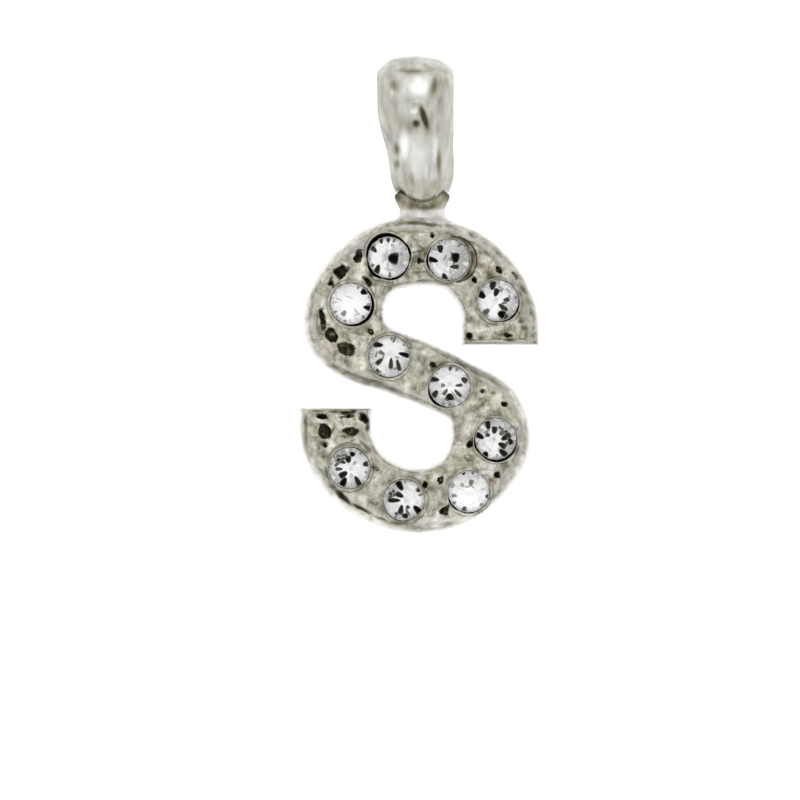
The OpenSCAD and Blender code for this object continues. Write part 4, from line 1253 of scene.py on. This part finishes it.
def foil_faces(first):
    """Faces from sixteen corners at the girdle in to a ring of sixteen, and on to a middle point."""
    faces = []
    for k in range(16):
        after = (k + 1) % 16
        rim, rim_after, ring, ring_after = [first + corner for corner in (k, after, 16 + k, 16 + after)]
        faces += [[rim, ring, rim_after], [rim_after, ring, ring_after], [ring, first + 32, ring_after]]
    return faces


def build_stone(i, materials):
    crown, pavilion = stone_faces()
    corners = stone_points()
    foil = foil_points(i)
    # The foil hangs from the girdle's lower ring. The backing behind it keeps the pavilion's own shape.
    girdle, roof, wall = 32, 65, 98
    sheet = np.concatenate([corners[girdle:girdle + 16], foil])
    points = [corners[:girdle], sheet, sheet - [0, 0, backing_gap], corners[girdle:]]
    mirror, backing = foil_faces(girdle), [f[::-1] for f in foil_faces(roof)]
    backing += [[roof + k, wall + k, wall + (k + 1) % 16, roof + (k + 1) % 16] for k in range(16)]
    backing += [[k + wall - girdle for k in f] for f in pavilion]
    faces = crown + mirror + backing
    kinds = [glass_part] * len(crown) + [foil_part] * len(mirror) + [backing_part] * len(backing)
    start = sum(len(part) for part in points)
    tones = [np.zeros(start)]
    # The painted dark reflections lie on the crown, the palest lowest.
    rows = PETALS[i] + girdle_notches(i)
    for order, row in enumerate(sorted(rows, key=lambda row: -row[5])):
        own, tone = petal(*row)
        own = own @ turn_about(2, STONES[i][2])[:2, :2]
        far = np.linalg.norm(own, axis=1)
        own = own * np.minimum(1, 0.95 * stone_r / np.maximum(far, 0.1))[:, None]
        level = crown_level(own) + order * petal_layer
        points += [np.column_stack([own, level + petal_rise]), np.column_stack([own, level - petal_rise])]
        slab = slab_faces(*petal_steps, start)
        faces += slab
        kinds += [painted_reflection_part] * len(slab)
        start += 2 * len(own)
        tones.append(np.tile(tone, 2))
    name = f"stone_{i + 1:02d}"
    add_piece(f"{name}_cut", at_stone(i, np.concatenate(points)), faces, materials, [name],
              {"paleness": np.concatenate(tones)}, kinds, flat=True)


# Materials. Each works in millimetres on the object's own coordinates.
# Colour of the pale places and of the painted highlights.
shine_colour = (0.82, 0.82, 0.81)
lamp_way = (0.03, -0.829, 0.558)


def set_inputs(tree, node, inputs):
    """Links a node's inputs to sockets, or sets them to values."""
    for key, value in dict(inputs).items():
        if isinstance(value, bpy.types.NodeSocket):
            tree.links.new(value, node.inputs[key])
        else:
            node.inputs[key].default_value = value


def add_node(tree, kind, inputs=(), output=0, **settings):
    """Adds a shader node and returns one of its outputs."""
    node = tree.nodes.new("ShaderNode" + kind)
    for key, value in settings.items():
        setattr(node, key, value)
    set_inputs(tree, node, inputs)
    return node.outputs[output]


def math_node(tree, operation, *values):
    return add_node(tree, "Math", enumerate(values), operation=operation)


def mark_node(tree, name):
    return add_node(tree, "Attribute", output="Fac", attribute_name=name)


def noise_node(tree, at, size, detail=2.0, stretch=None, roughness=0.5):
    """Noise with bumps about as wide as size, in millimetres."""
    if stretch is not None:
        at = add_node(tree, "VectorMath", {0: at, 1: stretch}, operation="MULTIPLY")
    inputs = {"Vector": at, "Scale": 1 / size, "Detail": detail, "Roughness": roughness}
    return add_node(tree, "TexNoise", inputs, "Fac")


def mix_node(tree, share, a, b, kind="MIX"):
    """A share of colour b mixed, or otherwise blended, with colour a."""
    b = (*b, 1) if isinstance(b, tuple) else b
    return add_node(tree, "Mix", {0: share, 6: a, 7: b}, 2, data_type="RGBA", blend_type=kind)


def ramp_node(tree, value, stops):
    """Colours or greys at places from 0 to 1."""
    node = tree.nodes.new("ShaderNodeValToRGB")
    bar = node.color_ramp
    while len(bar.elements) < len(stops):
        bar.elements.new(0.5)
    for element, (spot, colour) in zip(bar.elements, stops):
        element.position = spot
        element.color = (*colour, 1) if isinstance(colour, tuple) else (colour, colour, colour, 1)
    tree.links.new(value, node.inputs["Fac"])
    return node.outputs["Color"]


def new_material(name):
    """A material with its tree, its shader, and places in it in millimetres."""
    material = bpy.data.materials.new(name)
    material.use_nodes = True
    tree = material.node_tree
    spot = add_node(tree, "TexCoord", output="Object")
    at = add_node(tree, "VectorMath", {0: spot, "Scale": 1 / MM}, operation="SCALE")
    return material, tree, tree.nodes["Principled BSDF"], at


def soft_material(name, size, stops, inputs):
    """A material whose colour varies softly, with patches about as wide as size."""
    material, tree, shader, at = new_material(name)
    set_inputs(tree, shader, {"Base Color": ramp_node(tree, noise_node(tree, at, size), stops), **inputs})
    return material


def bump_node(tree, shader, layers):
    """Fine relief from several [height, depth in millimetres] layers."""
    below = {}
    for height, depth in layers:
        inputs = {"Height": height, "Distance": depth * MM, **below}
        below = {"Normal": add_node(tree, "Bump", inputs, "Normal")}
    set_inputs(tree, shader, below)


def casting_material():
    """Silver plating over a rough casting: mottled khaki grey, pale on the border, black in the pits, with
    painted shadow round the stones and under the bail's foot and a painted highlight along the border's
    outer edge.
    """
    material, tree, shader, at = new_material("cast_plating")
    stain_and_painted_shade, polish = mark_node(tree, "stain_and_painted_shade"), mark_node(tree, "polish")
    skin = ramp_node(tree, noise_node(tree, at, 0.5, 4, roughness=0.55), [
        (0.34, (0.21, 0.205, 0.16)), (0.45, (0.36, 0.35, 0.30)),
        (0.55, (0.47, 0.46, 0.41)), (0.66, (0.66, 0.65, 0.61)),
    ])
    worn = ramp_node(tree, noise_node(tree, at, 0.4, 3), [
        (0.3, (0.285, 0.28, 0.25)), (0.5, (0.355, 0.35, 0.325)), (0.68, (0.46, 0.455, 0.435)),
    ])
    colour = mix_node(tree, polish, skin, worn)
    # A greenish and pinkish tint comes and goes, less where the skin is smooth.
    tint = ramp_node(tree, noise_node(tree, at, 0.8, 2), [
        (0.38, (0.94, 0.96, 0.87)), (0.5, (0.96, 0.96, 0.95)), (0.64, (0.99, 0.94, 0.93)),
    ])
    colour = mix_node(tree, math_node(tree, "MULTIPLY_ADD", polish, -0.7, 1.0), colour, tint, "MULTIPLY")
    # Pale places and painted highlights.
    colour = mix_node(tree, mark_node(tree, "shine"), colour, shine_colour)
    # Darker where the dark mask holds stains, painted shade and painted shadow.
    stained_and_shaded = ramp_node(tree, stain_and_painted_shade, [
        (0.0, 1.0), (0.35, (0.60, 0.585, 0.50)), (0.7, (0.17, 0.16, 0.125)), (1.0, (0.035, 0.033, 0.026)),
    ])
    dull = math_node(tree, "MULTIPLY_ADD", polish, -0.14, 0.44)
    dull = math_node(tree, "ADD", dull, math_node(tree, "MULTIPLY", stain_and_painted_shade, 0.2))
    patchy = math_node(tree, "MULTIPLY_ADD", noise_node(tree, at, 0.2, 2), 0.2, -0.1)
    set_inputs(tree, shader, {
        "Base Color": mix_node(tree, 1.0, colour, stained_and_shaded, "MULTIPLY"), "Metallic": 1.0,
        "Roughness": math_node(tree, "ADD", dull, patchy),
    })
    coarse, fine = noise_node(tree, at, 0.15, 3), noise_node(tree, at, 0.06, 2)
    bump_node(tree, shader, [(coarse, 0.045), (fine, 0.012)])
    return material


def polished_material():
    """The bail's bright plating, with drawn streaks, painted highlights, and a yellowish darkening from
    stains, painted shade in its hollows and painted dark reflections.
    """
    material, tree, shader, at = new_material("polished_plating")
    streaks = noise_node(tree, at, 0.42, 2, (1.0, 1.0, 0.26))
    skin = ramp_node(tree, streaks, [
        (0.3, (0.315, 0.31, 0.27)), (0.5, (0.415, 0.41, 0.375)), (0.7, (0.515, 0.51, 0.48)),
    ])
    # Painted highlights where the bail's marks are pale.
    skin = mix_node(tree, mark_node(tree, "shine"), skin, shine_colour)
    # Darker where the dark mask holds stains, painted shade and painted dark reflections.
    stained_and_shaded = ramp_node(tree, mark_node(tree, "stain_and_painted_shade"), [
        (0.0, 1.0), (0.5, (0.66, 0.65, 0.55)), (1.0, (0.12, 0.11, 0.08)),
    ])
    set_inputs(tree, shader, {
        "Base Color": mix_node(tree, 1.0, skin, stained_and_shaded, "MULTIPLY"), "Metallic": 1.0,
        "Roughness": math_node(tree, "MULTIPLY_ADD", noise_node(tree, at, 0.5, 2), 0.16, 0.2),
    })
    bump_node(tree, shader, [(streaks, 0.012), (noise_node(tree, at, 0.12, 2), 0.003)])
    return material


def glass_material():
    """Clear glass with the faintest haze."""
    material, tree, shader, at = new_material("clear_glass")
    haze = math_node(tree, "MULTIPLY_ADD", noise_node(tree, at, 0.3, 2), 0.03, -0.01)
    set_inputs(tree, shader, {
        "Base Color": (1, 1, 1, 1), "Transmission Weight": 1.0, "IOR": 1.52, "Roughness": haze,
    })
    return material


def foil_material():
    """The bright mirror foil behind the glass."""
    stops = [(0.36, (0.98, 0.985, 0.985)), (0.6, 1.0)]
    return soft_material("mirror_foil", 0.25, stops, {"Metallic": 1.0, "Roughness": 0.42})


def painted_reflection_material():
    """Painted dark reflections laid on the stones' crowns, paler where they are marked so."""
    material, tree, shader, at = new_material("painted_dark_reflection")
    tint = ramp_node(tree, noise_node(tree, at, 0.2, 2), [(0.35, 0.001), (0.7, (0.006, 0.006, 0.005))])
    pale = ramp_node(tree, mark_node(tree, "paleness"), [
        (0.0, 0.0), (0.2, (0.045, 0.045, 0.04)), (0.45, (0.22, 0.22, 0.20)), (0.7, (0.50, 0.50, 0.48)),
        (1.0, (0.72, 0.72, 0.71)),
    ])
    set_inputs(tree, shader, {
        "Base Color": mix_node(tree, 1.0, tint, pale, "ADD"), "Roughness": 0.4, "Specular IOR Level": 0.0,
    })
    return material


def backing_material():
    """The foil's lacquered back, out of sight in the cup."""
    stops = [(0.35, (0.30, 0.27, 0.20)), (0.65, (0.42, 0.39, 0.31))]
    return soft_material("foil_back", 0.3, stops, {"Roughness": 0.5})


# The studio.
def build_world():
    """A pale tent all round, dim straight in front, and plain white where the camera sees it."""
    world = bpy.data.worlds.new("studio")
    bpy.context.scene.world = world
    world.use_nodes = True
    tree = world.node_tree
    tree.nodes.clear()
    around = add_node(tree, "TexCoord", output="Generated")

    def half_turns_from(way):
        near = add_node(tree, "VectorMath", {0: around, 1: way}, "Value", operation="DOT_PRODUCT")
        return math_node(tree, "MULTIPLY", math_node(tree, "ARCCOSINE", near), 1 / math.pi)

    tent = ramp_node(tree, half_turns_from((0, -1, 0)), [
        (0.0, 0.86), (0.05, 0.88), (0.10, 0.99), (0.18, 1.21), (0.30, 1.42), (0.5, 1.42), (1.0, 1.42),
    ])
    # The softest lamp: a round glow high in front, that a polished curve shows without an edge.
    lamp = ramp_node(tree, half_turns_from(lamp_way), [(0.0, 0.7), (0.06, 0.6), (0.12, 0.2), (0.18, 0.0)])
    glow = add_node(tree, "Background", {"Color": mix_node(tree, 1.0, tent, lamp, "ADD")})
    white = add_node(tree, "Background", {"Color": (1, 1, 1, 1), "Strength": 1.05})
    seen = add_node(tree, "LightPath", output="Is Camera Ray")
    out = tree.nodes.new("ShaderNodeOutputWorld")
    set_inputs(tree, out, {"Surface": add_node(tree, "MixShader", {0: seen, 1: glow, 2: white})})


def build_floor():
    """A plain pale floor below the hanging pendant."""
    drop, half = 38, 600
    corners = [[-half, -half], [half, -half], [half, half], [-half, half]]
    points = np.column_stack([corners, np.full(4, -drop)])
    mesh = bpy.data.meshes.new("floor")
    mesh.from_pydata((points * MM).tolist(), [], [[0, 1, 2, 3]])
    mesh.materials.append(soft_material("pale_floor", 40, [(0.3, 0.93), (0.7, 0.96)], {"Roughness": 0.9}))
    floor = bpy.data.objects.new("floor", mesh)
    bpy.context.scene.collection.objects.link(floor)


def build_camera():
    """Level and straight in front of the letter, at the photograph's framing."""
    view_w, view_x, view_z, crest_y = 38.095, -0.919, -15.548, -letter_t / 2
    data = bpy.data.cameras.new("camera")
    data.lens = 200
    data.sensor_width = 36
    away = view_w * data.lens / data.sensor_width
    data.clip_start = 0.01
    data.clip_end = 10
    camera = bpy.data.objects.new("camera", data)
    camera.location = Vector((view_x, crest_y - away, view_z)) * MM
    camera.rotation_euler = (math.pi / 2, 0, 0)
    bpy.context.scene.collection.objects.link(camera)
    bpy.context.scene.camera = camera


casting, polished = casting_material(), polished_material()
build_letter([casting])
build_neck([casting])
build_bail([polished])
stone_materials = [glass_material(), foil_material(), painted_reflection_material(), backing_material()]
for i in range(len(STONES)):
    build_stone(i, stone_materials)

build_world()
build_floor()
build_camera()
bpy.context.scene.view_settings.view_transform = "Standard"
